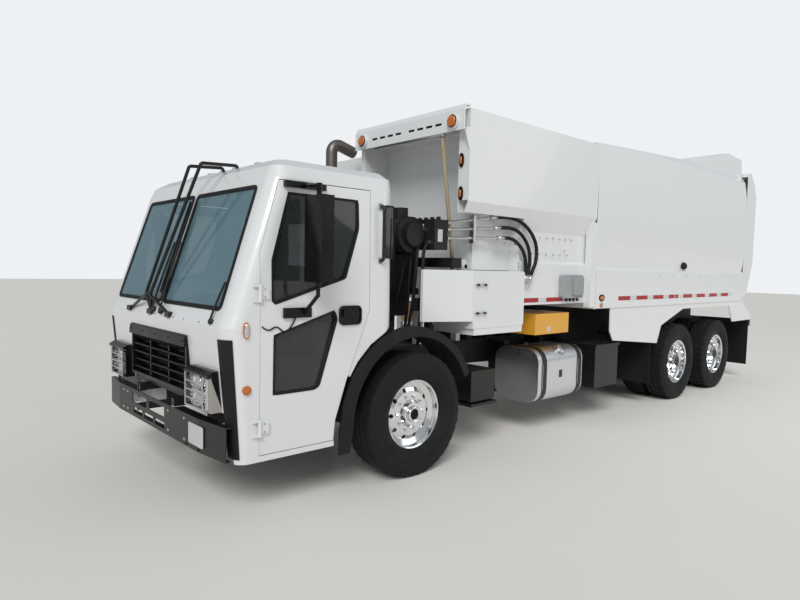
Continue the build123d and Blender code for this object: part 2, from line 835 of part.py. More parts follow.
def oil_pipes():
    radius = 13
    with BuildPart() as pipes:
        for front_z, rear_z, rear_y, bend_y, foot_y in PIPE_RUNS:
            x, y = PIPE_START
            rod((x, y + RUN_GAP, front_z), (x, y + 22, front_z), radius + 8)
            rod((x, y + 15, front_z), (PIPE_END_X, rear_y, rear_z), radius)
        block((1030, 1082), (820, 850), (1990, 2250))
        block((1030, 1060), (850, HOPPER_WALL_Y + 20), (2000, 2030))
        block((1000, 1060), (HOPPER_WALL_Y, HOPPER_WALL_Y + 30), (2000, 2030))
    return pipes.part


def oil_hoses():
    radius = 18
    with BuildPart() as hoses:
        for front_z, rear_z, rear_y, bend_y, foot_y in PIPE_RUNS:
            bent_tube(
                [
                    (PIPE_END_X, rear_y + 6, rear_z),
                    (PIPE_END_X + 36, rear_y + 130, rear_z - 8),
                    (HOSE_X, bend_y - 130, rear_z - 60),
                    (HOSE_X, bend_y, rear_z - 190),
                    (HOSE_X, foot_y, HOSE_FOOT),
                ],
                60,
                radius,
            )
        block((1150, HOSE_X + 20), (1462, 1590), (HOSE_FOOT - 60, HOSE_FOOT + 5))
    return hoses.part


def exhaust_stack():
    x = -620
    y = 420
    with BuildPart() as stack:
        rod((x, y, 1130), (x, y, 2650), 120)
        rod((x, y, 2650), (x, y, 2760), 62)
        bent_tube([(x, y, 2760), (x, y, 3090), (x, y + 300, 3010)], 90, 62)
        block((x - 100, -RAIL_OUTER), (y - 60, y + 60), (RAIL_TOP - 120, RAIL_TOP - 60))
        block((x - 60, x + 60), (y - 60, y + 60), (RAIL_TOP - 60, 1130))
    return stack.part


# Hopper behind the cab: full height on the left, open above a low sill on the right
def hopper_shell():
    wall = BODY_WALL
    rear = BODY_FRONT - 5
    front_wall = HOPPER_WALL_Y
    curb = -BODY_HALF + 40
    low = SUMP_BOTTOM
    recess = (ARM_STATION - 440, ARM_STATION + 440)
    recess_x = -1040
    notch_x = 1000
    notch_top = 2256
    fold_top = 2350
    fold_low = 2140
    fold_x = 1130
    with BuildPart() as shell:
        # Left side wall with its inward fold; ahead of the sump it ends under the fold
        upper = [(BODY_HALF, HOPPER_ROOF), (BODY_HALF, fold_top)]
        fold = (BODY_HALF - fold_x) / (fold_top - fold_low)
        hem = [(BODY_HALF - fold * (fold_top - notch_top), notch_top)]
        sump_edge = [(fold_x, fold_low), (fold_x, 1850), (1150, 1820), (1150, low)]
        for edge, y in ((hem, (HOPPER_FRONT, SUMP_FRONT)), (sump_edge, (SUMP_FRONT, rear))):
            outer = upper + edge
            inner = [(x - wall, z) for x, z in reversed(outer)]
            cross_form(outer + inner, y)
        # Left front post
        block((1090, BODY_HALF - wall), (HOPPER_FRONT, HOPPER_FRONT + wall), (2360, HOPPER_ROOF))
        block((1090, 1090 + wall), (HOPPER_FRONT, front_wall), (notch_top, HOPPER_ROOF))
        # Front wall with the notch for the oil pipes
        block((curb, notch_x), (front_wall, front_wall + wall), (SHELF_Z - wall, 3000))
        corner = [(notch_x, notch_top), (hem[0][0] - 6, notch_top), (BODY_HALF - 6, fold_top)]
        cross_form(corner + [(BODY_HALF - 6, 3000), (notch_x, 3000)], (front_wall, front_wall + wall))
        block((notch_x, 1090), (HOPPER_FRONT + 120, SUMP_FRONT), (notch_top, notch_top + wall))
        block((1090, 1178), (front_wall, SUMP_FRONT), (notch_top, notch_top + wall))
        block((notch_x - wall, notch_x), (front_wall, SUMP_FRONT + wall), (SHELF_Z - wall, notch_top + wall))
        corner = [(notch_x, SHELF_Z - wall), (fold_x - 6, SHELF_Z - wall), (fold_x - 6, fold_low)]
        cross_form(
            corner + [
                (hem[0][0] - 6, notch_top),
                (hem[0][0] - 6, notch_top + wall),
                (notch_x, notch_top + wall),
            ],
            (SUMP_FRONT, SUMP_FRONT + wall),
        )
        # Shelf, front of the sump, and the sump's floor
        block((curb, notch_x), (front_wall, SUMP_FRONT + wall), (SHELF_Z - wall, SHELF_Z))
        block((curb, 1150), (SUMP_FRONT, SUMP_FRONT + wall), (low, SHELF_Z))
        block((curb, 1138), (SUMP_FRONT, rear), (low, low + wall))
        # Roof over the left part, its edge beam and the far front post
        block((VISOR_FAR_X, BODY_HALF), (HOPPER_FRONT, rear), (HOPPER_ROOF - wall, HOPPER_ROOF))
        block((VISOR_FAR_X, VISOR_FAR_X + 60), (HOPPER_FRONT, rear), (3040, HOPPER_ROOF - wall))
        block((VISOR_FAR_X, VISOR_FAR_X + 60), (HOPPER_FRONT, front_wall), (2720, 3040))
        block((VISOR_FAR_X + 60, 1090), (HOPPER_FRONT + 120, front_wall), (2990, 3002))
        # Right side: low wall with the recess for the mast
        for y in ((front_wall, recess[0]), (recess[1], rear)):
            foot = SHELF_Z - wall if y[0] < SUMP_FRONT else low
            block((curb, curb + wall), y, (foot, HOPPER_CURB_SILL))
        block((curb, curb + wall), (SUMP_FRONT, recess[0]), (low, HOPPER_CURB_SILL))
        block((recess_x, recess_x + wall), recess, (low, HOPPER_CURB_SILL))
        block((curb - 1, recess_x), (recess[0] + 6, recess[1] - 6), (low - 1, low + 20), Mode.SUBTRACT)
        for y in recess:
            block((curb, recess_x + wall), (y - wall / 2, y + wall / 2), (low, HOPPER_CURB_SILL))
        # Rear post and beam round the right part of the body's mouth
        block((-BODY_HALF, -BODY_HALF + 60), (rear - 30, rear), (low, 3150))
        block((-BODY_HALF + 60, VISOR_FAR_X), (rear - 30, rear), (3090, 3150))
    return shell.part


def header_visor():
    """Hooded header over the hopper's front, with its marker lamps and the post's lamps."""
    y0 = 496
    sheet = 12
    roof = HOPPER_ROOF + 25
    low = 2960
    lamp_z = 3040
    with BuildPart() as visor:
        side_form(
            [
                (y0, low),
                (y0, 3135),
                (y0 + 25, roof),
                (HOPPER_FRONT, roof),
                (HOPPER_FRONT, roof - sheet),
                (y0 + 30, roof - sheet),
                (y0 + sheet, 3130),
                (y0 + sheet, low + sheet),
                (HOPPER_FRONT, low + 32),
                (HOPPER_FRONT, low + 20),
            ],
            (VISOR_FAR_X, BODY_HALF),
        )
        for x in (1098, -162):
            rod((x, y0 + 6, lamp_z), (x, y0 - 20, lamp_z), 68)
            rod((x, y0 - 20, lamp_z), (x, y0 - 30, lamp_z), 58)
        # Slots in two groups of four
        for middle in (190, 730):
            with BuildSketch(Plane.XZ.offset(-y0 - 20)) as slots:
                with Locations((middle, lamp_z)):
                    with GridLocations(118, 1, 4, 1):
                        SlotOverall(84, 22)
            extrude(slots.sketch, amount=40, mode=Mode.SUBTRACT)
        side_form(
            [(HOPPER_FRONT, low + 20), (y0 + 20, low + 2), (HOPPER_FRONT, 2790)],
            (BODY_HALF - 14, BODY_HALF),
        )
        # Upright oval lamps on the near post
        for z in (2712, 2420):
            with BuildSketch(Plane.XZ.offset(-HOPPER_FRONT + RUN_GAP)) as lamp:
                with Locations((1130, z)):
                    Ellipse(24, 62)
            extrude(lamp.sketch, amount=16)
    return visor.part


def junction_box():
    """Grey electrical box on the hopper's lower side, its cover and cable glands."""
    wall_x = 1150 + RUN_GAP
    with BuildPart() as case:
        with BuildSketch(Plane.YZ.offset(wall_x)) as back:
            with Locations((2345, 1585)):
                RectangleRounded(400, 250, 30)
        extrude(back.sketch, amount=52)
        with BuildSketch(Plane.YZ.offset(wall_x + 52)) as cover:
            with Locations((2430, 1590)):
                RectangleRounded(200, 200, 24)
        extrude(cover.sketch, amount=18)
        for y in (2260, 2330, 2400, 2470):
            rod((wall_x + 26, y, 1470), (wall_x + 26, y, 1425), 14)
    return case.part


# Body: bowed sides, lower sill, ramped roof at the tail
def body_outline(inset):
    """Side view of the body; inset moves the roof down and the floor up."""
    return [
        (BODY_FRONT, BODY_BOTTOM + inset),
        (BODY_REAR, BODY_BOTTOM + inset),
        (BODY_REAR, 3340 - inset),
        (4950, 3310 - inset),
        (BODY_FRONT, 3190 - inset),
    ]


def body_section(inset):
    """Cross-section of the body: vertical sill, ledge and a bowed upper side."""
    low = BODY_BOTTOM - 20
    top = 3700
    with BuildSketch(Plane.XZ.offset(-BODY_REAR - 100)) as flat:
        with BuildLine():
            Line((0, low), (BODY_HALF - inset, low))
            Line((BODY_HALF - inset, low), (BODY_HALF - inset, LEDGE_Z - 40))
            Line((BODY_HALF - inset, LEDGE_Z - 40), (BODY_HALF - 28 - inset, LEDGE_Z))
            ThreePointArc(
                (BODY_HALF - 28 - inset, LEDGE_Z),
                (BODY_HALF + 14 - inset, 2450),
                (BODY_HALF - 45 - inset, 3230),
            )
            Line((BODY_HALF - 45 - inset, 3230), (BODY_HALF - 110 - inset, 3330))
            Line((BODY_HALF - 110 - inset, 3330), (BODY_HALF - 110 - inset, top))
            Line((BODY_HALF - 110 - inset, top), (0, top))
            Line((0, top), (0, low))
        make_face()
        mirror(about=Plane.YZ)
    return flat.sketch


def body_form(inset):
    with BuildPart() as form:
        side_form(body_outline(inset), (-1300, 1300))
        extrude(body_section(inset), amount=BODY_REAR + 400, mode=Mode.INTERSECT)
    return form.part


def body_shell():
    cavity = Pos(0, 30, 0) * body_form(BODY_WALL)
    cavity_front = Pos(0, -30, 0) * body_form(BODY_WALL)
    floor_half = BODY_HALF - BODY_WALL
    floor = (BODY_BOTTOM, SUMP_BOTTOM + BODY_WALL)
    bays = 9
    pitch = (BODY_REAR - BODY_FRONT) / bays
    member = 60
    runners = (RAIL_OUTER - 90, RAIL_OUTER + 10)
    sill = BODY_HALF - 70
    with BuildPart() as shell:
        add(body_form(0))
        add(cavity, mode=Mode.SUBTRACT)
        add(cavity_front, mode=Mode.SUBTRACT)
        # Floor sheet on cross members, with a runner over each frame rail
        block((-floor_half, floor_half), (BODY_FRONT, BODY_REAR), floor)
        for bay in range(bays):
            y = (BODY_FRONT + pitch * bay + member / 2, BODY_FRONT + pitch * (bay + 1) - member / 2)
            for x in ((-sill, -runners[1]), (-runners[0], runners[0]), (runners[1], sill)):
                block(x, y, (BODY_BOTTOM - 1, SUMP_BOTTOM), Mode.SUBTRACT)
        # Raised tail header: side cheeks, ramp and cap over the tailgate's cylinders
        for side in (1, -1):
            x = sorted((side * 1098, side * 1110))
            side_form(
                [(4950, 3306), (6270, 3540), (6720, 3630), (BODY_REAR - 40, 3600), (BODY_REAR, 3330)],
                x,
            )
        side_form([(4950, 3306), (6270, 3540), (6270, 3528), (4990, 3306)], (-1098, 1098))
        side_form(
            [
                (6270, 3528),
                (6270, 3540),
                (6720, 3630),
                (BODY_REAR - 40, 3600),
                (BODY_REAR - 40, 3588),
                (6720, 3618),
            ],
            (-1098, 1098),
        )
        # Hinge lugs of the tailgate and the cylinders' feet
        for x in (-900, 900):
            side_form(
                [
                    (BODY_REAR - 120, 3330),
                    (BODY_REAR, 3330),
                    (BODY_REAR, TAIL_PIVOT_Z - 32),
                    (TAIL_PIVOT_Y + 25, TAIL_PIVOT_Z - 32),
                    (TAIL_PIVOT_Y + 38, TAIL_PIVOT_Z),
                    (TAIL_PIVOT_Y + 20, TAIL_PIVOT_Z + 36),
                    (TAIL_PIVOT_Y - 20, TAIL_PIVOT_Z + 36),
                    (BODY_REAR - 120, 3400),
                ],
                (x - 20, x + 20),
            )
            rod((x - 60, TAIL_PIVOT_Y, TAIL_PIVOT_Z), (x + 60, TAIL_PIVOT_Y, TAIL_PIVOT_Z), TAIL_PIN)
        foot_y = CYLINDER_FOOT[0]
        foot_z = CYLINDER_FOOT[1]
        for x in (-CYLINDER_X, CYLINDER_X):
            for dx in (-66, 46):
                side_form(
                    [
                        (foot_y - 60, 3325),
                        (foot_y + 60, 3325),
                        (foot_y + 30, foot_z + 30),
                        (foot_y - 30, foot_z + 30),
                    ],
                    (x + dx, x + dx + 20),
                )
            rod((x - 60, foot_y, foot_z), (x + 60, foot_y, foot_z), 18)
    return shell.part


def packer_panel():
    """Ejector and packer panel that pushes the load from the hopper to the tail."""
    y0 = SUMP_FRONT + BODY_WALL + 8
    half = 1020
    low = SUMP_BOTTOM + BODY_WALL + 10
    high = 2420
    with BuildPart() as panel:
        side_form([(y0, low), (y0 + 260, low), (y0 + 320, 1900), (y0 + 60, high), (y0, high)], (-half, half))
        block((-half + 40, half - 40), (y0 - 1, y0 + 200), (low + 60, high - 160), Mode.SUBTRACT)
        for x in (-600, 0, 600):
            side_form([(y0, low + 60), (y0 + 200, low + 60), (y0 + 200, 2260), (y0, 2260)], (x - 8, x + 8))
        for x in (-half + 60, half - 60):
            block((x - 40, x + 40), (y0, y0 + 260), (low - 10 + RUN_GAP, low))
    return panel.part


def tailgate():
    wall = BODY_WALL
    front = BODY_REAR + 12
    profile = [
        (front, 3385),
        (7470, 3385),
        (7620, 3240),
        (7740, 3030),
        (7745, 1950),
        (7540, 1450),
        (front, 1340),
    ]
    inner = [
        (front - 1, 3330),
        (7460, 3345),
        (7605, 3220),
        (7728, 3020),
        (7733, 1960),
        (7530, 1466),
        (front - 1, 1366),
    ]
    half = BODY_HALF - 2
    with BuildPart() as gate:
        side_form(profile, (-half, half))
        side_form(inner, (-half + wall, half - wall), Mode.SUBTRACT)
        # Ribs on the back
        for x in (-760, 0, 760):
            side_form(
                [(7730, 3000), (7775, 2960), (7780, 1980), (7735, 1940)],
                (x - 40, x + 40),
            )
        # Hinge ears either side of each lug
        for x in (-900, 900):
            for dx in (-54, 28):
                side_form(
                    [
                        (front + 20, 3384),
                        (TAIL_PIVOT_Y - 40, TAIL_PIVOT_Z),
                        (TAIL_PIVOT_Y - 28, TAIL_PIVOT_Z + 38),
                        (TAIL_PIVOT_Y + 28, TAIL_PIVOT_Z + 38),
                        (TAIL_PIVOT_Y + 80, 3384),
                    ],
                    (x + dx, x + dx + 26),
                )
            rod(
                (x - 70, TAIL_PIVOT_Y, TAIL_PIVOT_Z),
                (x + 70, TAIL_PIVOT_Y, TAIL_PIVOT_Z),
                TAIL_PIN + RUN_GAP,
                Mode.SUBTRACT,
            )
        # Levers for the lifting cylinders
        eye_y, eye_z = lever_eye()
        for x in (-CYLINDER_X, CYLINDER_X):
            side_form(
                [
                    (TAIL_PIVOT_Y - 10, 3384),
                    (eye_y - 30, eye_z),
                    (eye_y - 15, eye_z + 28),
                    (eye_y + 15, eye_z + 28),
                    (eye_y + 30, eye_z),
                    (TAIL_PIVOT_Y + 100, 3384 - 110),
                    (TAIL_PIVOT_Y + 60, 3384),
                ],
                (x - 14, x + 14),
            )
    return gate.part


def lever_eye():
    """The shut tailgate's lever eye (y, z), half the swing behind top dead centre."""
    angle = radians(90 - TAIL_SWING / 2)
    return (TAIL_PIVOT_Y + TAIL_LEVER * cos(angle), TAIL_PIVOT_Z + TAIL_LEVER * sin(angle))


def cylinder_point(distance):
    """A point (y, z) on the tailgate cylinders' axis, measured from their feet."""
    eye_y, eye_z = lever_eye()
    dy = eye_y - CYLINDER_FOOT[0]
    dz = eye_z - CYLINDER_FOOT[1]
    length = (dy * dy + dz * dz) ** 0.5
    return (CYLINDER_FOOT[0] + dy * distance / length, CYLINDER_FOOT[1] + dz * distance / length)


CYLINDER_ROD = 25


def tailgate_barrels():
    foot_y, foot_z = CYLINDER_FOOT
    with BuildPart() as barrels:
        for x in (-CYLINDER_X, CYLINDER_X):
            rod((x - 40, foot_y, foot_z), (x + 40, foot_y, foot_z), 34)
            rod((x, *cylinder_point(20)), (x, *cylinder_point(560)), 42)
            rod((x - 51, foot_y, foot_z), (x + 51, foot_y, foot_z), 18 + RUN_GAP, Mode.SUBTRACT)
            bore = CYLINDER_ROD + RUN_GAP
            rod((x, *cylinder_point(90)), (x, *cylinder_point(561)), bore, Mode.SUBTRACT)
    return barrels.part


def tailgate_rods():
    eye_y, eye_z = lever_eye()
    reach = eye_y - CYLINDER_FOOT[0]
    with BuildPart() as rods:
        for x in (-CYLINDER_X, CYLINDER_X):
            rod((x, *cylinder_point(300)), (x, *cylinder_point(reach - 50)), CYLINDER_ROD)
            block((x - 46, x + 46), (eye_y - 64, eye_y - 44), (eye_z - 30, eye_z + 26))
            for dx in (-46, 20):
                plate = (x + dx, x + dx + 26)
                rod((plate[0], eye_y, eye_z), (plate[1], eye_y, eye_z), 30)
                block(plate, (eye_y - 60, eye_y), (eye_z - 24, eye_z + 20))
    return rods.part


# Lifting arm: cross box, sliding beam with its mast, swinging arm and two claws
def arm_rail():
    wall = 12
    y = (ARM_STATION - RAIL_BOX_WIDTH / 2, ARM_STATION + RAIL_BOX_WIDTH / 2)
    z = (RAIL_BOX_BOTTOM, RAIL_BOX_TOP)
    with BuildPart() as rail:
        block((RAIL_BOX_MOUTH, RAIL_BOX_END), y, z)
        block(
            (RAIL_BOX_MOUTH - 1, RAIL_BOX_END - wall),
            (y[0] + wall, y[1] - wall),
            (z[0] + wall, z[1] - wall),
            Mode.SUBTRACT,
        )
    return rail.part


def arm_carriage():
    wall = 12
    slack = 8
    pad = slack - RUN_GAP
    y = (
        ARM_STATION - RAIL_BOX_WIDTH / 2 + wall + slack,
        ARM_STATION + RAIL_BOX_WIDTH / 2 - wall - slack,
    )
    z = (RAIL_BOX_BOTTOM + wall + slack, RAIL_BOX_TOP - wall - slack)
    head = (-1075, -1045)
    with BuildPart() as carriage:
        block((head[0], 960), y, z)
        for x in (-900, 900):
            block((x - 30, x + 30), y, (z[0] - pad, z[0]))
            block((x - 30, x + 30), y, (z[1], z[1] + pad))
        block(head, (ARM_STATION - 200, ARM_STATION + 200), (1040, 1310))
        for side in (-1, 1):
            y_mast = sorted((ARM_STATION + side * 170, ARM_STATION + side * 200))
            cross_form(
                [
                    (head[0] - 20, 1040),
                    (head[0], 1040),
                    (head[0] + 10, 1310),
                    (LIFT_X + 55, LIFT_Z),
                    (LIFT_X + 30, LIFT_Z + 50),
                    (LIFT_X - 30, LIFT_Z + 50),
                    (LIFT_X - 50, LIFT_Z),
                    (head[0] - 60, 1200),
                ],
                y_mast,
            )
            rod(
                (LIFT_X, ARM_STATION + side * 200, LIFT_Z),
                (LIFT_X, ARM_STATION + side * 100, LIFT_Z),
                LIFT_PIN,
            )
    return carriage.part


GRIP_X = -1200
GRIP_Z = 760
CLAW_Y = 212


def lift_arm():
    with BuildPart() as arm:
        for side in (-1, 1):
            y = sorted((ARM_STATION + side * 110, ARM_STATION + side * 150))
            cross_form(
                [
                    (LIFT_X + 50, LIFT_Z),
                    (LIFT_X + 20, LIFT_Z + 50),
                    (LIFT_X - 30, LIFT_Z + 50),
                    (GRIP_X - 40, LIFT_Z - 120),
                    (GRIP_X - 40, GRIP_Z - 60),
                    (GRIP_X + 40, GRIP_Z - 60),
                    (GRIP_X + 40, LIFT_Z - 220),
                    (LIFT_X + 10, LIFT_Z - 70),
                ],
                y,
            )
            rod(
                (LIFT_X, y[0] - 1, LIFT_Z),
                (LIFT_X, y[1] + 1, LIFT_Z),
                LIFT_PIN + RUN_GAP,
                Mode.SUBTRACT,
            )
        block((GRIP_X - 40, GRIP_X + 40), (ARM_STATION - 150, ARM_STATION + 150), (900, 980))
        # Gripper beam with an ear above and below each claw
        for z in ((GRIP_Z + 66, GRIP_Z + 96), (GRIP_Z - 96, GRIP_Z - 66)):
            block((GRIP_X - 40, GRIP_X + 40), (ARM_STATION - CLAW_Y - 40, ARM_STATION + CLAW_Y + 40), z)
        for side in (-1, 1):
            y = ARM_STATION + side * CLAW_Y
            rod((GRIP_X, y, GRIP_Z - 96), (GRIP_X, y, GRIP_Z + 96), CLAW_PIN)
    return arm.part


def claw():
    """Claw behind the arm's middle, lying back along the truck's side."""
    y = ARM_STATION + CLAW_Y
    with BuildPart() as piece:
        rod((GRIP_X, y, GRIP_Z - 65), (GRIP_X, y, GRIP_Z + 65), 38)
        plan_form(
            [
                (GRIP_X - 38, y),
                (GRIP_X - 38, y + 200),
                (GRIP_X - 70, y + 420),
                (GRIP_X - 50, y + 424),
                (GRIP_X - 10, y + 210),
                (GRIP_X - 6, y + 30),
            ],
            (GRIP_Z - 60, GRIP_Z + 60),
        )
        rod((GRIP_X, y, GRIP_Z - 70), (GRIP_X, y, GRIP_Z + 70), CLAW_PIN + RUN_GAP, Mode.SUBTRACT)
    return piece.part


# Cab
CAB_SECTIONS = (
    # z, front y, half width, corner radius
    (CAB_BOTTOM, -1612, 1190, 90),
    (1327, -1700, CAB_HALF, CAB_CORNER),
    (1415, -1662, CAB_HALF, CAB_CORNER),
    (2350, -1345, 1185, CAB_CORNER),
    (2440, -1305, 1150, 100),
    (2500, -1210, 1030, 90),
)
GRILLE_HALF = 574
GRILLE_LOW = 800
GRILLE_HIGH = 1232
LAMP_X = (650, 1030)
LAMP_Z = (748, 1030)
WINDSCREEN_BASE = (-1662, 1415)
WINDSCREEN_TOP = (-1345, 2350)


def cab_form(inset):
    """The cab's closed outer form, moved inward by the wall and out through the bottom."""
    with BuildPart() as form:
        for z, front, half, corner in CAB_SECTIONS:
            level = z - inset if z > 2400 or z == CAB_BOTTOM else z
            rear = CAB_REAR - inset
            start = front + inset
            with BuildSketch(Plane.XY.offset(level)):
                with Locations((0, (start + rear) / 2)):
                    RectangleRounded(2 * (half - inset), rear - start, corner - inset * 0.6)
        loft(ruled=True)
    return form.part


def door_outline(gap):
    """Door edge seen from the side, moved inward by a gap."""
    return [
        (-1299 + gap * 0.5, 2336 - gap),
        (-505 - gap, 2336 - gap),
        (-505 - gap, 1422),
        (-622 - gap, 1115),
        (-712 - gap, 900),
        (-812 - gap, 600),
        (-826 - gap, 445 + gap),
        (DOOR_HINGE_Y + 6 + gap * 0.5, 445 + gap),
        (DOOR_HINGE_Y + 6 + gap * 0.5, 1821),
    ]


UPPER_WINDOW = [
    (-1239, 2254),
    (-624, 2250),
    (-617, 2036),
    (-737, 1664),
    (-764, 1651),
    (-1341, 1480),
    (-1367, 1506),
    (-1369, 1785),
]
LOWER_WINDOW = [
    (-1351, 1273),
    (-840, 1430),
    (-811, 1366),
    (-964, 879),
    (-1009, 854),
    (-1353, 854),
]
QUARTER_WINDOW = [(-361, 2236), (-262, 2236), (-262, 1821), (-361, 1821)]


def windscreen_plane():
    run = (WINDSCREEN_TOP[0] - WINDSCREEN_BASE[0], WINDSCREEN_TOP[1] - WINDSCREEN_BASE[1])
    return Plane(
        origin=(0, *WINDSCREEN_BASE),
        x_dir=(1, 0, 0),
        z_dir=(0, -run[1], run[0]),
    )


def screen_panes(shrink):
    """Both windscreen panes, flat in the screen's plane."""
    rise = 900
    with BuildSketch(windscreen_plane()) as panes:
        with BuildLine():
            Polyline(
                (28 + shrink, 30 + shrink),
                (1025 - shrink, 30 + shrink),
                (995 - shrink, 30 + rise - shrink),
                (28 + shrink, 30 + rise - shrink),
                close=True,
            )
        make_face()
        fillet(panes.vertices(), 40)
        mirror(about=Plane.YZ)
    return panes.sketch


def arch_edge(margin):
    """The cab's lower rear edge (y, z) round the front wheel's fender."""
    radius = ARCH_OUTER + margin
    return [
        (-ARCH_OUTER - 37 - margin, 560),
        arch_point(radius, 167),
        arch_point(radius + 3, 154),
        arch_point(radius + 3, 141),
        arch_point(radius + 3, 128),
        arch_point(radius, 115),
        (-250, 1300),
    ]


def cab_shell():
    floor_low = FLOOR_Z - FLOOR_THICK
    wall_in = CAB_HALF - CAB_WALL + 5
    arch_margin = 14
    edge = arch_edge(arch_margin)
    arch_space = [(edge[0][0], 200)] + edge + [(0, 1300), (0, 200)]
    liner_top = 1316
    with BuildPart() as shell:
        add(cab_form(0))
        add(cab_form(CAB_WALL), mode=Mode.SUBTRACT)
        # Floor with the engine hump and the step wells
        block((-wall_in, wall_in), (-1640, CAB_REAR - CAB_WALL), (floor_low, FLOOR_Z))
        block((-HUMP_HALF, HUMP_HALF), (-1140, CAB_REAR - CAB_WALL), (floor_low, HUMP_TOP))
        for side in (1, -1):
            well = sorted((side * WELL_X, side * wall_in))
            block(well, WELL_Y, (CAB_BOTTOM, floor_low))
            hollow = sorted((side * (WELL_X + 15), side * (wall_in + 1)))
            room = (WELL_Y[0] + 15, WELL_Y[1] - 15)
            block(hollow, room, (CAB_BOTTOM + 30, FLOOR_Z + 1), Mode.SUBTRACT)
            block(sorted((side * (WELL_X + 15), side * wall_in)), room, (720, 735))
            # Box over the wheel, up to the height of the arch
            box = sorted((side * ARCH_LINER_X, side * wall_in))
            block(box, (-800, CAB_REAR - CAB_WALL), (floor_low, liner_top))
        # Under the floor the cab is open behind the step wells
        clear = HUMP_HALF - 20
        block((-clear, clear), (-1120, CAB_REAR + 10), (floor_low - 10, HUMP_TOP - 40), Mode.SUBTRACT)
        block((-1300, 1300), (CAB_REAR - CAB_WALL - 5, CAB_REAR + 10), (300, floor_low), Mode.SUBTRACT)
        for side in (1, -1):
            wheel_space = sorted((side * (ARCH_LINER_X + 15), side * 1300))
            side_form(arch_space, wheel_space, Mode.SUBTRACT)
        # Windows and door openings
        block((-420, 420), (CAB_REAR - 70, CAB_REAR + 10), (1750, 2150), Mode.SUBTRACT)
        extrude(screen_panes(0), amount=150, both=True, mode=Mode.SUBTRACT)
        for x in ((-1300, -1100), (1100, 1300)):
            side_form(QUARTER_WINDOW, x, Mode.SUBTRACT)
            side_form(door_opening(), x, Mode.SUBTRACT)
        # Front openings: grille, headlamps, and the space over the bumper
        opening = (GRILLE_LOW - RUN_GAP, GRILLE_HIGH + RUN_GAP)
        block((-GRILLE_HALF, GRILLE_HALF), (-1800, -1598), opening, Mode.SUBTRACT)
        for side in (1, -1):
            lamp = sorted((side * (LAMP_X[0] - RUN_GAP), side * (LAMP_X[1] + RUN_GAP)))
            block(lamp, (-1800, -1560), (LAMP_Z[0] - 10, LAMP_Z[1] + RUN_GAP), Mode.SUBTRACT)
        block((-1130, 1130), (-1800, -1480), (300, LAMP_Z[0] - 3), Mode.SUBTRACT)
        for side in (1, -1):
            # Tilt arms, from the floor forward to the pins
            x = sorted((side * (RAIL_OUTER - 98), side * (RAIL_OUTER - 66)))
            side_form(
                [
                    (-1590, floor_low + 1),
                    (-1590, TILT_Z + 33),
                    (TILT_Y - 25, TILT_Z + 33),
                    (TILT_Y - 25, TILT_Z - 24),
                    (-1530, TILT_Z - 24),
                    (RAIL_FRONT - 20, floor_low + 1),
                ],
                x,
            )
            pin = (TILT_Y, TILT_Z)
            rod((x[0] - 1, *pin), (x[1] + 1, *pin), TILT_PIN + RUN_GAP, Mode.SUBTRACT)
            # Feet on the rear rest, and the pillar's door hinge leaves
            foot = sorted((side * 500, side * 580))
            block(foot, (CAB_REAR - 20, CAB_REST_Y[1] - 5), (CAB_REST_Z, CAB_REST_Z + 40))
            for z in DOOR_HINGE_LEVELS:
                for low in (z - 60, z + 40.4):
                    barrel = side * DOOR_HINGE_X
                    rod((barrel, DOOR_HINGE_Y, low), (barrel, DOOR_HINGE_Y, low + 19.6), 13)
                    leaf = sorted((side * (CAB_HALF - 20), side * DOOR_HINGE_X))
                    block(leaf, (DOOR_HINGE_Y - 50, DOOR_HINGE_Y - 9), (low, low + 19.6))
    return shell.part


def door_opening():
    """The hole for a door, run on past the wheel arch at the lower rear."""
    edge = door_outline(0)
    return edge[:4] + [(-700, 930), (-640, 860), (-640, 300), (-826, 300), (-826, 445)] + edge[7:]


def door_left():
    inner_face = CAB_HALF - CAB_WALL + 5
    with BuildPart() as door:
        side_form(door_outline(MOVE_GAP), (inner_face, 1300))
        add(cab_form(0), mode=Mode.INTERSECT)
        side_form(UPPER_WINDOW, (1100, 1300), Mode.SUBTRACT)
        side_form(LOWER_WINDOW, (1100, 1300), Mode.SUBTRACT)
        for z in DOOR_HINGE_LEVELS:
            rod((DOOR_HINGE_X, DOOR_HINGE_Y, z - 40), (DOOR_HINGE_X, DOOR_HINGE_Y, z + 40), 13)
            block((CAB_HALF - 20, DOOR_HINGE_X), (DOOR_HINGE_Y + 12, DOOR_HINGE_Y + 70), (z - 40, z + 40))
            block((CAB_HALF + 1, DOOR_HINGE_X), (DOOR_HINGE_Y, DOOR_HINGE_Y + 13), (z - 40, z + 40))
    return door.part


def door_handle():
    """Pull handle: a shallow cup with a paddle across it, flat on the door's skin."""
    skin = CAB_HALF + RUN_GAP
    with BuildPart() as handle:
        with BuildSketch(Plane.YZ.offset(skin)) as bezel:
            with Locations((HANDLE_Y, HANDLE_Z)):
                RectangleRounded(208, 146, 40)
        extrude(bezel.sketch, amount=14)
        with BuildSketch(Plane.YZ.offset(skin + 4)) as cup:
            with Locations((HANDLE_Y, HANDLE_Z)):
                RectangleRounded(184, 122, 32)
        extrude(cup.sketch, amount=20, mode=Mode.SUBTRACT)
        with BuildSketch(Plane.YZ.offset(skin + 4)) as paddle:
            with Locations((HANDLE_Y, HANDLE_Z + 16)):
                RectangleRounded(150, 60, 24)
        extrude(paddle.sketch, amount=16)
    return handle.part


def door_glass():
    x = CAB_HALF - 26
    with BuildPart() as glass:
        side_form(UPPER_WINDOW, (x, x + GLASS))
        side_form(LOWER_WINDOW, (x, x + GLASS))
    return glass.part


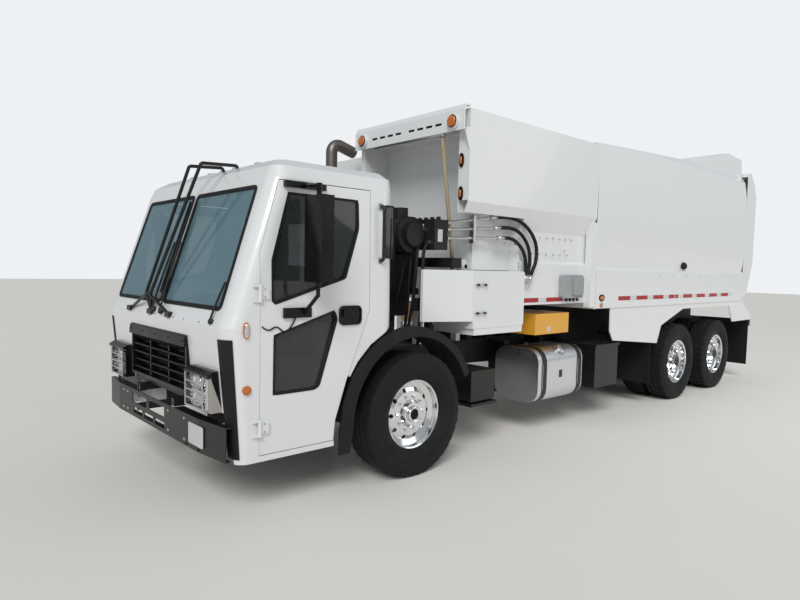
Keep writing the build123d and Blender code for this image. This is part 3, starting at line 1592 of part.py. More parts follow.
def cab_glass():
    with BuildPart() as glass:
        extrude(Pos(0, 0, 0) * screen_panes(RUN_GAP), amount=-GLASS)
        for x in (CAB_HALF - 30, -CAB_HALF + 24):
            side_form(QUARTER_WINDOW, (x, x + GLASS))
        block((-420, 420), (-262, -256), (1750, 2150))
    return glass.part


def cab_interior():
    """Two seats, dashboard, column and steering wheel."""
    seat_x = 600
    cushion = FLOOR_Z + 310
    with BuildPart() as inside:
        for x in (-seat_x, seat_x):
            block((x - 190, x + 190), (-960, -560), (FLOOR_Z, cushion))
            side_form(
                [(-600, cushion), (-460, cushion), (-330, 2050), (-430, 2080)],
                (x - 215, x + 215),
            )
            block((x - 225, x + 225), (-1040, -540), (cushion, cushion + 100))
        side_form(
            [(-1590, 1250), (-1590, 1380), (-1400, 1400), (-1330, 1340), (-1330, 1180)],
            (-1080, 1080),
        )
        block((-500, 500), (-1590, -1550), (FLOOR_Z, 1260))
        rod((seat_x, -1400, 1320), (seat_x, -1222, 1508), 30)
        with BuildSketch(Plane(origin=(seat_x, -1225, 1505), z_dir=(0, 170, 180))) as wheel:
            Circle(230)
            Circle(200, mode=Mode.SUBTRACT)
            Rectangle(420, 40)
        extrude(wheel.sketch, amount=24)
    return inside.part


def grille():
    """Grille: a solid hood panel over slanted louvres in a frame, a screen behind them."""
    y0 = -1698
    depth = 98
    rim_width = 26
    hood_low = 1148
    rows = 5
    half = GRILLE_HALF - rim_width
    low = GRILLE_LOW + rim_width
    pitch = (hood_low - low) / rows
    louvre = 34
    with BuildPart() as front:
        block((-GRILLE_HALF, GRILLE_HALF), (y0, y0 + depth), (GRILLE_LOW, GRILLE_HIGH))
        block((-half, half), (y0 - 1, y0 + depth + 1), (low, hood_low), Mode.SUBTRACT)
        side_form(
            [(y0, GRILLE_HIGH), (y0 - 16, GRILLE_HIGH - 14), (y0 - 22, hood_low), (y0, hood_low)],
            (-GRILLE_HALF, GRILLE_HALF),
        )
        for row in range(rows):
            z = low + pitch * (row + 0.5)
            side_form(
                [
                    (y0 + 10, z + louvre / 2),
                    (y0 + 4, z + louvre / 2 - 8),
                    (y0 + 34, z - louvre / 2),
                    (y0 + 40, z - louvre / 2 + 6),
                ],
                (-half, half),
            )
        block((-half, half), (y0 + 60, y0 + 66), (low, hood_low))
        for x in (-190, 190):
            block((x - 8, x + 8), (y0 + 20, y0 + 62), (low, hood_low))
    return front.part


def headlamp():
    """Left lamp pair under a hood, with its guard rails and side lens."""
    y0 = FRONT_END
    x0, x1 = LAMP_X
    z0, z1 = LAMP_Z
    face = y0 + 24
    rail = 9
    lens_x = (x0 + 48, x1 - 78)
    with BuildPart() as lamp:
        block((x0, x1), (face, -1640), (z0, z1 - 40))
        # Hood with a sloped front
        side_form(
            [(-1640, z1 - 40), (-1640, z1), (face + 18, z1), (y0 + 2, z1 - 24), (y0 + 2, z1 - 40)],
            (x0, x1),
        )
        # Two lamp wells with a round reflector in each
        for low, high in ((z0 + 14, z0 + 118), (z0 + 132, z1 - 50)):
            block(lens_x, (face - 1, face + 34), (low, high), Mode.SUBTRACT)
            middle = ((lens_x[0] + lens_x[1]) / 2, (low + high) / 2)
            radius = (high - low) / 2 - 6
            rod((middle[0], face + 40, middle[1]), (middle[0], face + 12, middle[1]), radius)
        # Turn lens beside the lamps
        block((x1 - 62, x1 - 12), (face - 10, face), (z0 + 18, z1 - 50))
        # Guard rails on two uprights
        for x in (x0 + 18, x1 - 76):
            block((x - rail, x + rail), (y0, y0 + 8), (z0 + 4, z1 - 40))
            for z in (z0 + 10, z1 - 60):
                block((x - rail, x + rail), (y0 + 8, face), (z - 6, z + 6))
        for z in (z0 + 12, z0 + 66, z0 + 125, z1 - 96):
            block((x0 + 18, x1 - 76), (y0, y0 + 8), (z - 5, z + 5))
    return lamp.part


def corner_trim():
    """Black strip round the cab's left front corner, from the sill to the lamp's height."""
    proud = 7
    with BuildPart() as strip:
        add(cab_form(-proud))
        add(cab_form(-RUN_GAP), mode=Mode.SUBTRACT)
        side_form([(-1760, 441), (-1589, 441), (-1647, 1253), (-1760, 1253)], (1068, 1300), Mode.INTERSECT)
    return strip.part


def cab_lamps():
    """Roof markers, turn lamps high on the corners and round side markers."""
    roof_z = CAB_SECTIONS[-1][0]
    with BuildPart() as lamps:
        for x, y in ((-590, -1140), (-228, -1140), (0, -1140), (228, -1140), (590, -1140)):
            with BuildSketch(Plane.XY.offset(roof_z + RUN_GAP)) as base:
                with Locations((x, y)):
                    SlotOverall(92, 44)
            extrude(base.sketch, amount=30, taper=16)
        for side in (1, -1):
            for y, z, width, height, proud in ((-1560, 1314, 44, 112, 14), (-1552, 914, 62, 62, 12)):
                low_z, _, low_half, _ = CAB_SECTIONS[0]
                high_z, _, high_half, _ = CAB_SECTIONS[1]
                skin = low_half + (high_half - low_half) * (z - low_z) / (high_z - low_z)
                with BuildSketch(Plane.YZ.offset(side * (skin + RUN_GAP))) as flat:
                    with Locations((y, z)):
                        Ellipse(width / 2, height / 2)
                extrude(flat.sketch, amount=side * proud)
    return lamps.part


def side_mirror():
    """Left side mirror: a tall head on a bracket above and below the door's window."""
    arm_x = 1390
    arm_y = -1120
    bracket_z = (2284, 2326)
    pad_z = (1386, 1457)
    head_z = (1640, 2225)
    arm_radius = 14
    proud = CAB_HALF + 22
    with BuildPart() as piece:
        block((1285, 1490), (arm_y - 45, arm_y + 55), head_z)
        block((CAB_HALF - 60, proud), (-1271, -941), bracket_z)
        block((CAB_HALF - 60, proud), (-1279, -1056), pad_z)
        rod((proud - 4, arm_y, bracket_z[0] + 20), (arm_x, arm_y, bracket_z[0] + 10), arm_radius)
        rod((arm_x, arm_y, head_z[1] - 1), (arm_x, arm_y, bracket_z[0] + 24), arm_radius + 4)
        rod((proud - 4, arm_y, pad_z[0] + 30), (arm_x, arm_y, head_z[0] - 90), arm_radius)
        rod((arm_x, arm_y, head_z[0] - 100), (arm_x, arm_y, head_z[0] + 1), arm_radius)
        add(cab_form(0), mode=Mode.SUBTRACT)
    return piece.part


def mirror_hoop():
    cowl_y = -1690
    cowl_z = 1365
    joint_y = -1712
    joint_z = 1512
    with BuildPart() as hoop:
        for low_x, high_x, rear_x, rear_y in ((-176, 170, 216, -1250), (-80, 385, 410, -1225)):
            bent_tube(
                [
                    (-140, cowl_y, cowl_z),
                    (low_x, joint_y, joint_z),
                    (high_x, -1500, 2505),
                    (rear_x, rear_y, 2515),
                    (rear_x, rear_y + 30, 2460),
                ],
                20,
                13,
            )
        for x in (-607, 240):
            rod((x, cowl_y, cowl_z - 10), (-150, joint_y, joint_z), 12)
        for x in (-607, -134, 240):
            block((x - 38, x + 38), (cowl_y - 24, cowl_y + 30), (cowl_z - 25, cowl_z + 15))
        add(cab_form(0), mode=Mode.SUBTRACT)
    return hoop.part


def build():
    keep("frame_rails", frame_rails())
    keep("front_bumper", front_bumper())
    keep("front_axle", front_axle())
    left_knuckle = knuckle()
    keep("knuckle_left", left_knuckle)
    keep("knuckle_right", mirrored(left_knuckle))
    front_rim = Pos(RIM_PLANE, 0, AXLE_Z) * rim(55)
    front_tyre = Pos(RIM_PLANE - RIM_WIDTH / 2, 0, AXLE_Z) * tyre(FRONT_TYRE_WIDTH)
    keep("rim_front_left", front_rim)
    keep("rim_front_right", mirrored(front_rim))
    keep("tyre_front_left", front_tyre)
    keep("tyre_front_right", mirrored(front_tyre))
    for name, y in (("mid", REAR_AXLE), ("rear", REAR_AXLE + TANDEM_SPACING)):
        twin_rims = Pos(RIM_PLANE, y, AXLE_Z) * rear_rims()
        with BuildPart() as twin:
            for x in (RIM_PLANE - RIM_WIDTH / 2, RIM_PLANE - RIM_WIDTH / 2 - DUAL_SPACING):
                add(Pos(x, y, AXLE_Z) * tyre(DUAL_TYRE_WIDTH))
        keep(f"rims_{name}_left", twin_rims)
        keep(f"rims_{name}_right", mirrored(twin_rims))
        keep(f"tyres_{name}_left", twin.part)
        keep(f"tyres_{name}_right", mirrored(twin.part))
    keep("rear_axles", rear_axles())
    keep("rear_suspension", rear_suspension())
    keep("drive_shafts", drive_shafts())
    keep("engine_block", engine_block())
    keep("fuel_tank", fuel_tank())
    keep("side_boxes", side_boxes())
    fender = front_fender()
    skirt = rear_fender()
    with BuildPart() as fenders:
        add(fender)
        add(mirrored(fender))
    with BuildPart() as skirts:
        add(skirt)
        add(mirrored(skirt))
    keep("front_fenders", fenders.part)
    keep("rear_fenders", skirts.part)
    keep("mud_flaps", mud_flaps())
    keep("rear_bumper", rear_bumper())
    keep("toolbox", toolbox())
    keep("toolbox_door", toolbox_door())
    keep("power_pack", power_pack())
    keep("oil_pipes", oil_pipes())
    keep("oil_hoses", oil_hoses())
    keep("exhaust_stack", exhaust_stack())
    keep("hopper_shell", hopper_shell())
    keep("header_visor", header_visor())
    keep("junction_box", junction_box())
    keep("body_shell", body_shell())
    keep("packer_panel", packer_panel())
    keep("tailgate", tailgate())
    keep("tailgate_barrels", tailgate_barrels())
    keep("tailgate_rods", tailgate_rods())
    keep("arm_rail", arm_rail())
    keep("arm_carriage", arm_carriage())
    keep("lift_arm", lift_arm())
    rear_claw = claw()
    keep("claw_rear", rear_claw)
    keep("claw_front", mirror(rear_claw, about=Plane.XZ.offset(-ARM_STATION)))
    keep("cab_shell", cab_shell())
    keep("cab_glass", cab_glass())
    keep("cab_interior", cab_interior())
    keep("grille", grille())
    lamp = headlamp()
    with BuildPart() as lamps:
        add(lamp)
        add(mirrored(lamp))
    keep("headlamps", lamps.part)
    trim = corner_trim()
    with BuildPart() as trims:
        add(trim)
        add(mirrored(trim))
    keep("corner_trims", trims.part)
    keep("cab_lamps", cab_lamps())
    left_mirror = side_mirror()
    keep("mirror_left", left_mirror)
    keep("mirror_right", mirrored(left_mirror))
    keep("mirror_hoop", mirror_hoop())
    with BuildPart() as left_leaf:
        add(door_left())
        add(door_handle())
    left_door = left_leaf.part
    left_glass = door_glass()
    keep("door_left", left_door)
    keep("door_right", mirrored(left_door))
    keep("door_glass_left", left_glass)
    keep("door_glass_right", mirrored(left_glass))


build()
whole = Compound(children=PIECES).bounding_box()
print("size", whole.size, "from", whole.min, "to", whole.max)
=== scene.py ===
"""Looks of the garbage truck: finishes, tread, lamps, seals, bolts, stripes and other trim.

Metres, in the model's frame: -Y is the front, +X the vehicle's left, Z is up. Places along
the vehicle are counted from the front axle and turned into Y by at().
"""
import json
import math

import bmesh
import bpy
from mathutils import Matrix, Vector


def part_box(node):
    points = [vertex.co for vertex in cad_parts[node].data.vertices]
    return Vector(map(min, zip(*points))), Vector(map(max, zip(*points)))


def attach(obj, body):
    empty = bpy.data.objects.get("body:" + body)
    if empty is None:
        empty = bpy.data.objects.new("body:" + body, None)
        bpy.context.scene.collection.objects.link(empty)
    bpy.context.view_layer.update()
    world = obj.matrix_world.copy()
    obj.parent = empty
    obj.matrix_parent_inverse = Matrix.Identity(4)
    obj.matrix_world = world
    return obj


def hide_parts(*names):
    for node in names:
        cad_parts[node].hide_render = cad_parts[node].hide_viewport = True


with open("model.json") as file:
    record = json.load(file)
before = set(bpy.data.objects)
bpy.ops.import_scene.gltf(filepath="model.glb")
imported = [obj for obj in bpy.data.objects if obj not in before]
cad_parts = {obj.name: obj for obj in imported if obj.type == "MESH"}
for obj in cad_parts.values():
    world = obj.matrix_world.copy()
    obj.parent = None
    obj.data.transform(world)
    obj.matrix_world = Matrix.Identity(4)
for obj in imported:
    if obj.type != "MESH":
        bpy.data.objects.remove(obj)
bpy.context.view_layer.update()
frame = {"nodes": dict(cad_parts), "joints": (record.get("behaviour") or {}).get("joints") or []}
NODES = frame["nodes"]
FRONT_AXLE_Y = next(j["pos_m"][1] for j in frame["joints"] if j["name"] == "steer_left")


def at(station):
    """Y of a place given by its distance behind the front axle."""
    return FRONT_AXLE_Y + station


# Camera, solved from the photograph
CAMERA_PLACE = (4.819, at(-3.483), 1.751)
CAMERA_YAW = 47.993
CAMERA_PITCH = -4.068
CAMERA_ROLL = 1.203
FOCAL_PIXELS = 606.306
CENTRE_PIXEL = (396.871, 310.692)
PICTURE = (800, 600)
SENSOR = 36.0


def make_camera():
    yaw, pitch, roll = (math.radians(a) for a in (CAMERA_YAW, CAMERA_PITCH, CAMERA_ROLL))
    ahead = Vector((-math.sin(yaw) * math.cos(pitch), math.cos(yaw) * math.cos(pitch), math.sin(pitch)))
    level = Vector((math.cos(yaw), math.sin(yaw), 0))
    up = level.cross(ahead)
    right = math.cos(roll) * level + math.sin(roll) * up
    top = -math.sin(roll) * level + math.cos(roll) * up
    lens = bpy.data.cameras.new("camera")
    lens.sensor_width = SENSOR
    lens.lens = FOCAL_PIXELS * SENSOR / PICTURE[0]
    lens.shift_x = (PICTURE[0] / 2 - CENTRE_PIXEL[0]) / PICTURE[0]
    lens.shift_y = (CENTRE_PIXEL[1] - PICTURE[1] / 2) / PICTURE[0]
    lens.clip_end = 300
    camera = bpy.data.objects.new("camera", lens)
    turn = Matrix((right, top, -ahead)).transposed().to_4x4()
    camera.matrix_world = Matrix.Translation(CAMERA_PLACE) @ turn
    bpy.context.scene.collection.objects.link(camera)
    bpy.context.scene.camera = camera


# Light: a pale studio with a soft sun, one round fill lamp and an even glow
SUN_WAY = (-0.50, 0.58, -0.64)
FILL_PLACE = (10, 6, 6)
FILL_TARGET = (0, 1, 1.5)
GLOW_COLOR = (0.90, 0.95, 1.0, 1)
BACKDROP_COLOR = (0.86, 0.88, 0.90, 1)


def add_lamp(name, kind, energy, way, place=(0, 0, 0)):
    """A lamp at a place, which shines along a way."""
    data = bpy.data.lights.new(name, kind)
    data.energy = energy
    lamp = bpy.data.objects.new(name, data)
    lamp.location = place
    lamp.rotation_euler = Vector(way).to_track_quat("-Z", "Y").to_euler()
    bpy.context.scene.collection.objects.link(lamp)
    return data


def make_light():
    sun = add_lamp("key", "SUN", 1.75, SUN_WAY)
    sun.angle = 0.45
    fill = add_lamp("fill", "AREA", 160, Vector(FILL_TARGET) - Vector(FILL_PLACE), FILL_PLACE)
    fill.shape = "DISK"
    fill.size = 8
    world = bpy.data.worlds.new("studio")
    bpy.context.scene.world = world
    world.use_nodes = True
    tree = world.node_tree
    tree.nodes.clear()
    out = tree.nodes.new("ShaderNodeOutputWorld")
    mix = tree.nodes.new("ShaderNodeMixShader")
    glow = tree.nodes.new("ShaderNodeBackground")
    glow.inputs["Color"].default_value = GLOW_COLOR
    glow.inputs["Strength"].default_value = 0.38
    seen = tree.nodes.new("ShaderNodeBackground")
    seen.inputs["Color"].default_value = BACKDROP_COLOR
    seen.inputs["Strength"].default_value = 1.0
    path = tree.nodes.new("ShaderNodeLightPath")
    tree.links.new(path.outputs["Is Camera Ray"], mix.inputs["Fac"])
    tree.links.new(glow.outputs[0], mix.inputs[1])
    tree.links.new(seen.outputs[0], mix.inputs[2])
    tree.links.new(mix.outputs[0], out.inputs["Surface"])
    bpy.context.scene.view_settings.view_transform = "Standard"


# Materials
class Shader:
    """A node material under construction, with its main shader and object coordinates."""

    def __init__(self, name, color, roughness, metallic=0.0):
        self.material = bpy.data.materials.new(name)
        self.material.use_nodes = True
        self.tree = self.material.node_tree
        self.main = self.tree.nodes["Principled BSDF"]
        self.color = (*color, 1)
        self.main.inputs["Base Color"].default_value = self.color
        self.main.inputs["Roughness"].default_value = roughness
        self.main.inputs["Metallic"].default_value = metallic
        self.place = self.tree.nodes.new("ShaderNodeTexCoord").outputs["Object"]

    def link(self, output, node_input):
        self.tree.links.new(output, node_input)

    def noise(self, scale, detail=4.0, stretch=None):
        node = self.tree.nodes.new("ShaderNodeTexNoise")
        node.inputs["Scale"].default_value = scale
        node.inputs["Detail"].default_value = detail
        place = self.place
        if stretch:
            mapping = self.tree.nodes.new("ShaderNodeMapping")
            mapping.inputs["Scale"].default_value = stretch
            self.link(place, mapping.inputs["Vector"])
            place = mapping.outputs["Vector"]
        self.link(place, node.inputs["Vector"])
        return node.outputs["Fac"]

    def spread(self, value, low, high, from_low=0.3, from_high=0.7):
        node = self.tree.nodes.new("ShaderNodeMapRange")
        node.inputs["From Min"].default_value = from_low
        node.inputs["From Max"].default_value = from_high
        node.inputs["To Min"].default_value = low
        node.inputs["To Max"].default_value = high
        self.link(value, node.inputs["Value"])
        return node.outputs["Result"]

    def tint(self, factor, other):
        """Base colour moves towards another colour by a factor."""
        node = self.tree.nodes.new("ShaderNodeMix")
        node.data_type = "RGBA"
        node.inputs["A"].default_value = self.color
        node.inputs["B"].default_value = (*other, 1)
        self.link(factor, node.inputs["Factor"])
        self.link(node.outputs["Result"], self.main.inputs["Base Color"])

    def rough(self, value, low, high):
        self.link(self.spread(value, low, high), self.main.inputs["Roughness"])

    def bump(self, value, strength, distance):
        node = self.tree.nodes.new("ShaderNodeBump")
        node.inputs["Strength"].default_value = strength
        node.inputs["Distance"].default_value = distance
        self.link(value, node.inputs["Height"])
        self.link(node.outputs["Normal"], self.main.inputs["Normal"])

    def height(self):
        """World-up part of the place, for dirt that gathers low down."""
        split = self.tree.nodes.new("ShaderNodeSeparateXYZ")
        self.link(self.place, split.inputs[0])
        return split.outputs["Z"]

    def product(self, first, second):
        node = self.tree.nodes.new("ShaderNodeMath")
        node.operation = "MULTIPLY"
        self.link(first, node.inputs[0])
        self.link(second, node.inputs[1])
        return node.outputs[0]


def paint(name, color, gloss=0.28, dust=(0.50, 0.48, 0.45), coat=0.6):
    """Sprayed enamel: faint orange peel, a little dust low down, a clear coat."""
    shader = Shader(name, color, gloss)
    shader.main.inputs["Coat Weight"].default_value = coat
    shader.main.inputs["Coat Roughness"].default_value = 0.08
    blotch = shader.noise(1.7, 6)
    low = shader.spread(shader.height(), 0.16, 0.0, 0.3, 1.3)
    shader.tint(shader.product(low, shader.spread(blotch, 0.2, 1.0)), dust)
    shader.rough(shader.noise(0.8, 1), gloss - 0.01, gloss + 0.02)
    shader.bump(shader.noise(1.6, 0), 0.05, 0.004)
    return shader.material


def metal(name, color, roughness, grain=(1, 1, 1), scale=60, depth=0.05):
    shader = Shader(name, color, roughness, 1.0)
    streak = shader.noise(scale, 3, grain)
    shader.rough(streak, max(roughness - 0.03, 0.03), roughness + 0.04)
    shader.tint(shader.spread(shader.noise(1.3), 0.0, 0.10), tuple(c * 0.7 for c in color))
    shader.bump(streak, depth, 0.0006)
    return shader.material


def plain(name, color, roughness, grain=180, depth=0.12, dust=0.06, dust_color=(0.10, 0.095, 0.09)):
    """Moulded plastic, rubber or dull paint with a fine grain and a film of dust."""
    shader = Shader(name, color, roughness)
    shader.main.inputs["Specular IOR Level"].default_value = 0.28
    shader.tint(shader.spread(shader.noise(2.4, 7), 0.0, dust, 0.42, 0.75), dust_color)
    shader.rough(shader.noise(7), roughness - 0.08, roughness + 0.08)
    shader.bump(shader.noise(grain, 2), depth, 0.0015)
    return shader.material


def glass(name, tint, alpha, roughness=0.03):
    shader = Shader(name, tint, roughness)
    shader.main.inputs["Alpha"].default_value = alpha
    shader.main.inputs["Specular IOR Level"].default_value = 0.8
    shader.rough(shader.noise(5), roughness, roughness + 0.02)
    return shader.material


def lens(name, color, roughness=0.12, cells=90):
    """Moulded lamp lens with small prisms behind its face."""
    shader = Shader(name, color, roughness)
    shader.main.inputs["Coat Weight"].default_value = 0.8
    shader.main.inputs["Transmission Weight"].default_value = 0.25
    cell = shader.tree.nodes.new("ShaderNodeTexVoronoi")
    cell.inputs["Scale"].default_value = cells
    shader.link(shader.place, cell.inputs["Vector"])
    shader.tint(shader.spread(cell.outputs["Distance"], 0.0, 0.35, 0.0, 0.8), tuple(c * 0.4 for c in color))
    shader.bump(cell.outputs["Distance"], 0.3, 0.002)
    return shader.material


def woven(name, color):
    """Seat cloth with a diagonal weave and a little sheen."""
    shader = Shader(name, color, 0.85)
    weave = shader.tree.nodes.new("ShaderNodeTexWave")
    weave.bands_direction = "DIAGONAL"
    weave.inputs["Scale"].default_value = 90
    weave.inputs["Distortion"].default_value = 2
    shader.link(shader.place, weave.inputs["Vector"])
    shader.tint(shader.spread(weave.outputs["Fac"], 0.0, 0.5, 0.0, 1.0), tuple(c * 1.8 for c in color))
    shader.main.inputs["Sheen Weight"].default_value = 0.3
    shader.bump(weave.outputs["Fac"], 0.4, 0.002)
    return shader.material


def tape(name, color):
    """Safety tape with a fine cell pattern in its face."""
    shader = Shader(name, color, 0.3)
    cell = shader.tree.nodes.new("ShaderNodeTexVoronoi")
    cell.inputs["Scale"].default_value = 240
    shader.link(shader.place, cell.inputs["Vector"])
    shader.tint(shader.spread(cell.outputs["Distance"], 0.0, 0.2, 0.0, 0.8), tuple(c * 0.5 for c in color))
    shader.bump(cell.outputs["Distance"], 0.2, 0.001)
    return shader.material


def make_materials():
    return {
        "white": paint("white_enamel", (0.80, 0.81, 0.81)),
        "white_frame": paint("white_frame_enamel", (0.74, 0.75, 0.75), 0.36),
        "black": paint("black_enamel", (0.007, 0.006, 0.006), 0.40, (0.020, 0.018, 0.017), 0.08),
        "chassis": plain("chassis_paint", (0.012, 0.012, 0.013), 0.5, 120, 0.1, 0.08),
        "yellow": paint("yellow_enamel", (0.80, 0.38, 0.02), 0.35),
        "alloy": metal("polished_aluminium", (0.86, 0.87, 0.88), 0.12),
        "tank": metal("tank_aluminium", (0.80, 0.81, 0.83), 0.30, (1, 30, 1), 12, 0.01),
        "steel": metal("plated_steel", (0.60, 0.60, 0.58), 0.30),
        "chrome": metal("chrome", (0.90, 0.90, 0.91), 0.06, depth=0.0),
        "dark_steel": metal("heated_steel", (0.22, 0.20, 0.18), 0.45, depth=0.2),
        "cast": plain("cast_iron", (0.030, 0.030, 0.031), 0.6, 70, 0.4, 0.25),
        "tyre": plain("tyre_rubber", (0.009, 0.009, 0.009), 0.70, 140, 0.2, 0.08, (0.045, 0.042, 0.038)),
        "plastic": plain("moulded_plastic", (0.009, 0.009, 0.010), 0.55, 420, 0.25),
        "gloss_black": plain("gloss_black", (0.006, 0.006, 0.007), 0.25, 200, 0.02, 0.04),
        "rubber": plain("rubber", (0.009, 0.009, 0.009), 0.62, 200, 0.15),
        "glass": glass("window_glass", (0.17, 0.31, 0.37), 0.50),
        "side_glass": glass("side_glass", (0.030, 0.034, 0.036), 0.62),
        "mirror": metal("mirror_glass", (0.85, 0.87, 0.88), 0.03, depth=0.0),
        "amber": lens("amber_lens", (0.85, 0.22, 0.01)),
        "red": lens("red_lens", (0.55, 0.01, 0.01)),
        "clear": lens("clear_lens", (0.75, 0.77, 0.78), 0.08, 60),
        "grey": plain("grey_plastic", (0.36, 0.37, 0.38), 0.5, 300, 0.1, 0.2),
        "pale": plain("pale_plastic", (0.62, 0.63, 0.64), 0.45, 300, 0.08, 0.15),
        "fabric": woven("seat_cloth", (0.05, 0.05, 0.055)),
        "tape_red": tape("red_tape", (0.42, 0.012, 0.014)),
        "tape_white": tape("white_tape", (0.68, 0.69, 0.70)),
        "beige": plain("guard_paint", (0.42, 0.40, 0.36), 0.42, 200, 0.06),
        # Near-black: the real black rims round lamps, and painted shade inside holes, slots and recesses
        "hole": plain("dark_recess", (0.004, 0.004, 0.004), 0.9),
        "tan": plain("worn_pole", (0.40, 0.32, 0.20), 0.6, 90, 0.2),
        "floor": floor_material(),
    }


def floor_material():
    shader = Shader("studio_floor", (0.86, 0.83, 0.78), 0.85)
    shader.tint(shader.spread(shader.noise(0.7, 8), 0.0, 0.12), (0.74, 0.72, 0.68))
    shader.bump(shader.noise(60, 4), 0.08, 0.002)
    return shader.material


# Mesh building
# Rings of a dome: share of its width, share of its rise
DOME = ((1.0, 0.0), (0.97, 0.45), (0.82, 0.78), (0.5, 0.95), (0.12, 1.0))
TYRE_RADIUS = 0.525
TYRE_WALL = (
    # share of the half width, radius
    (-0.72, 0.290), (-0.80, 0.297), (-0.90, 0.318), (-0.965, 0.350), (-0.985, 0.352), (-1.0, 0.395),
    (-0.985, 0.399), (-0.985, 0.403), (-1.0, 0.407), (-0.995, 0.445), (-0.975, 0.470), (-0.96, 0.472),
    (-0.955, 0.482), (-0.925, 0.502),
)
TREAD_EDGE = 0.90  # share of the half width where the tread ends
CROWN_DROP = 0.006
GROOVE = 0.006  # half of a groove's width
GROOVE_DEPTH = 0.014
GROOVE_SLOPE = 0.002
SLOT_EVERY = 3


def square_to(axis):
    """An axis as a unit vector, and two unit vectors square to it and to each other."""
    axis = Vector(axis).normalized()
    side = axis.orthogonal().normalized()
    return axis, side, axis.cross(side)


def ring(centre, one, two, radius, sides):
    """Points of a circle, or of an oval where one and two differ in length."""
    turns = (2 * math.pi * i / sides for i in range(sides))
    return [centre + (one * math.cos(a) + two * math.sin(a)) * radius for a in turns]


def prism(count):
    """Walls and ends of a prism, as numbers of its corners, whose base has count corners."""
    walls = [(i, (i + 1) % count, count + (i + 1) % count, count + i) for i in range(count)]
    return walls, [tuple(range(count, 2 * count)), tuple(reversed(range(count)))]


def span(side, near, far):
    """Limits in X between two distances from the middle, on one side of the vehicle."""
    return sorted((side * near, side * far))


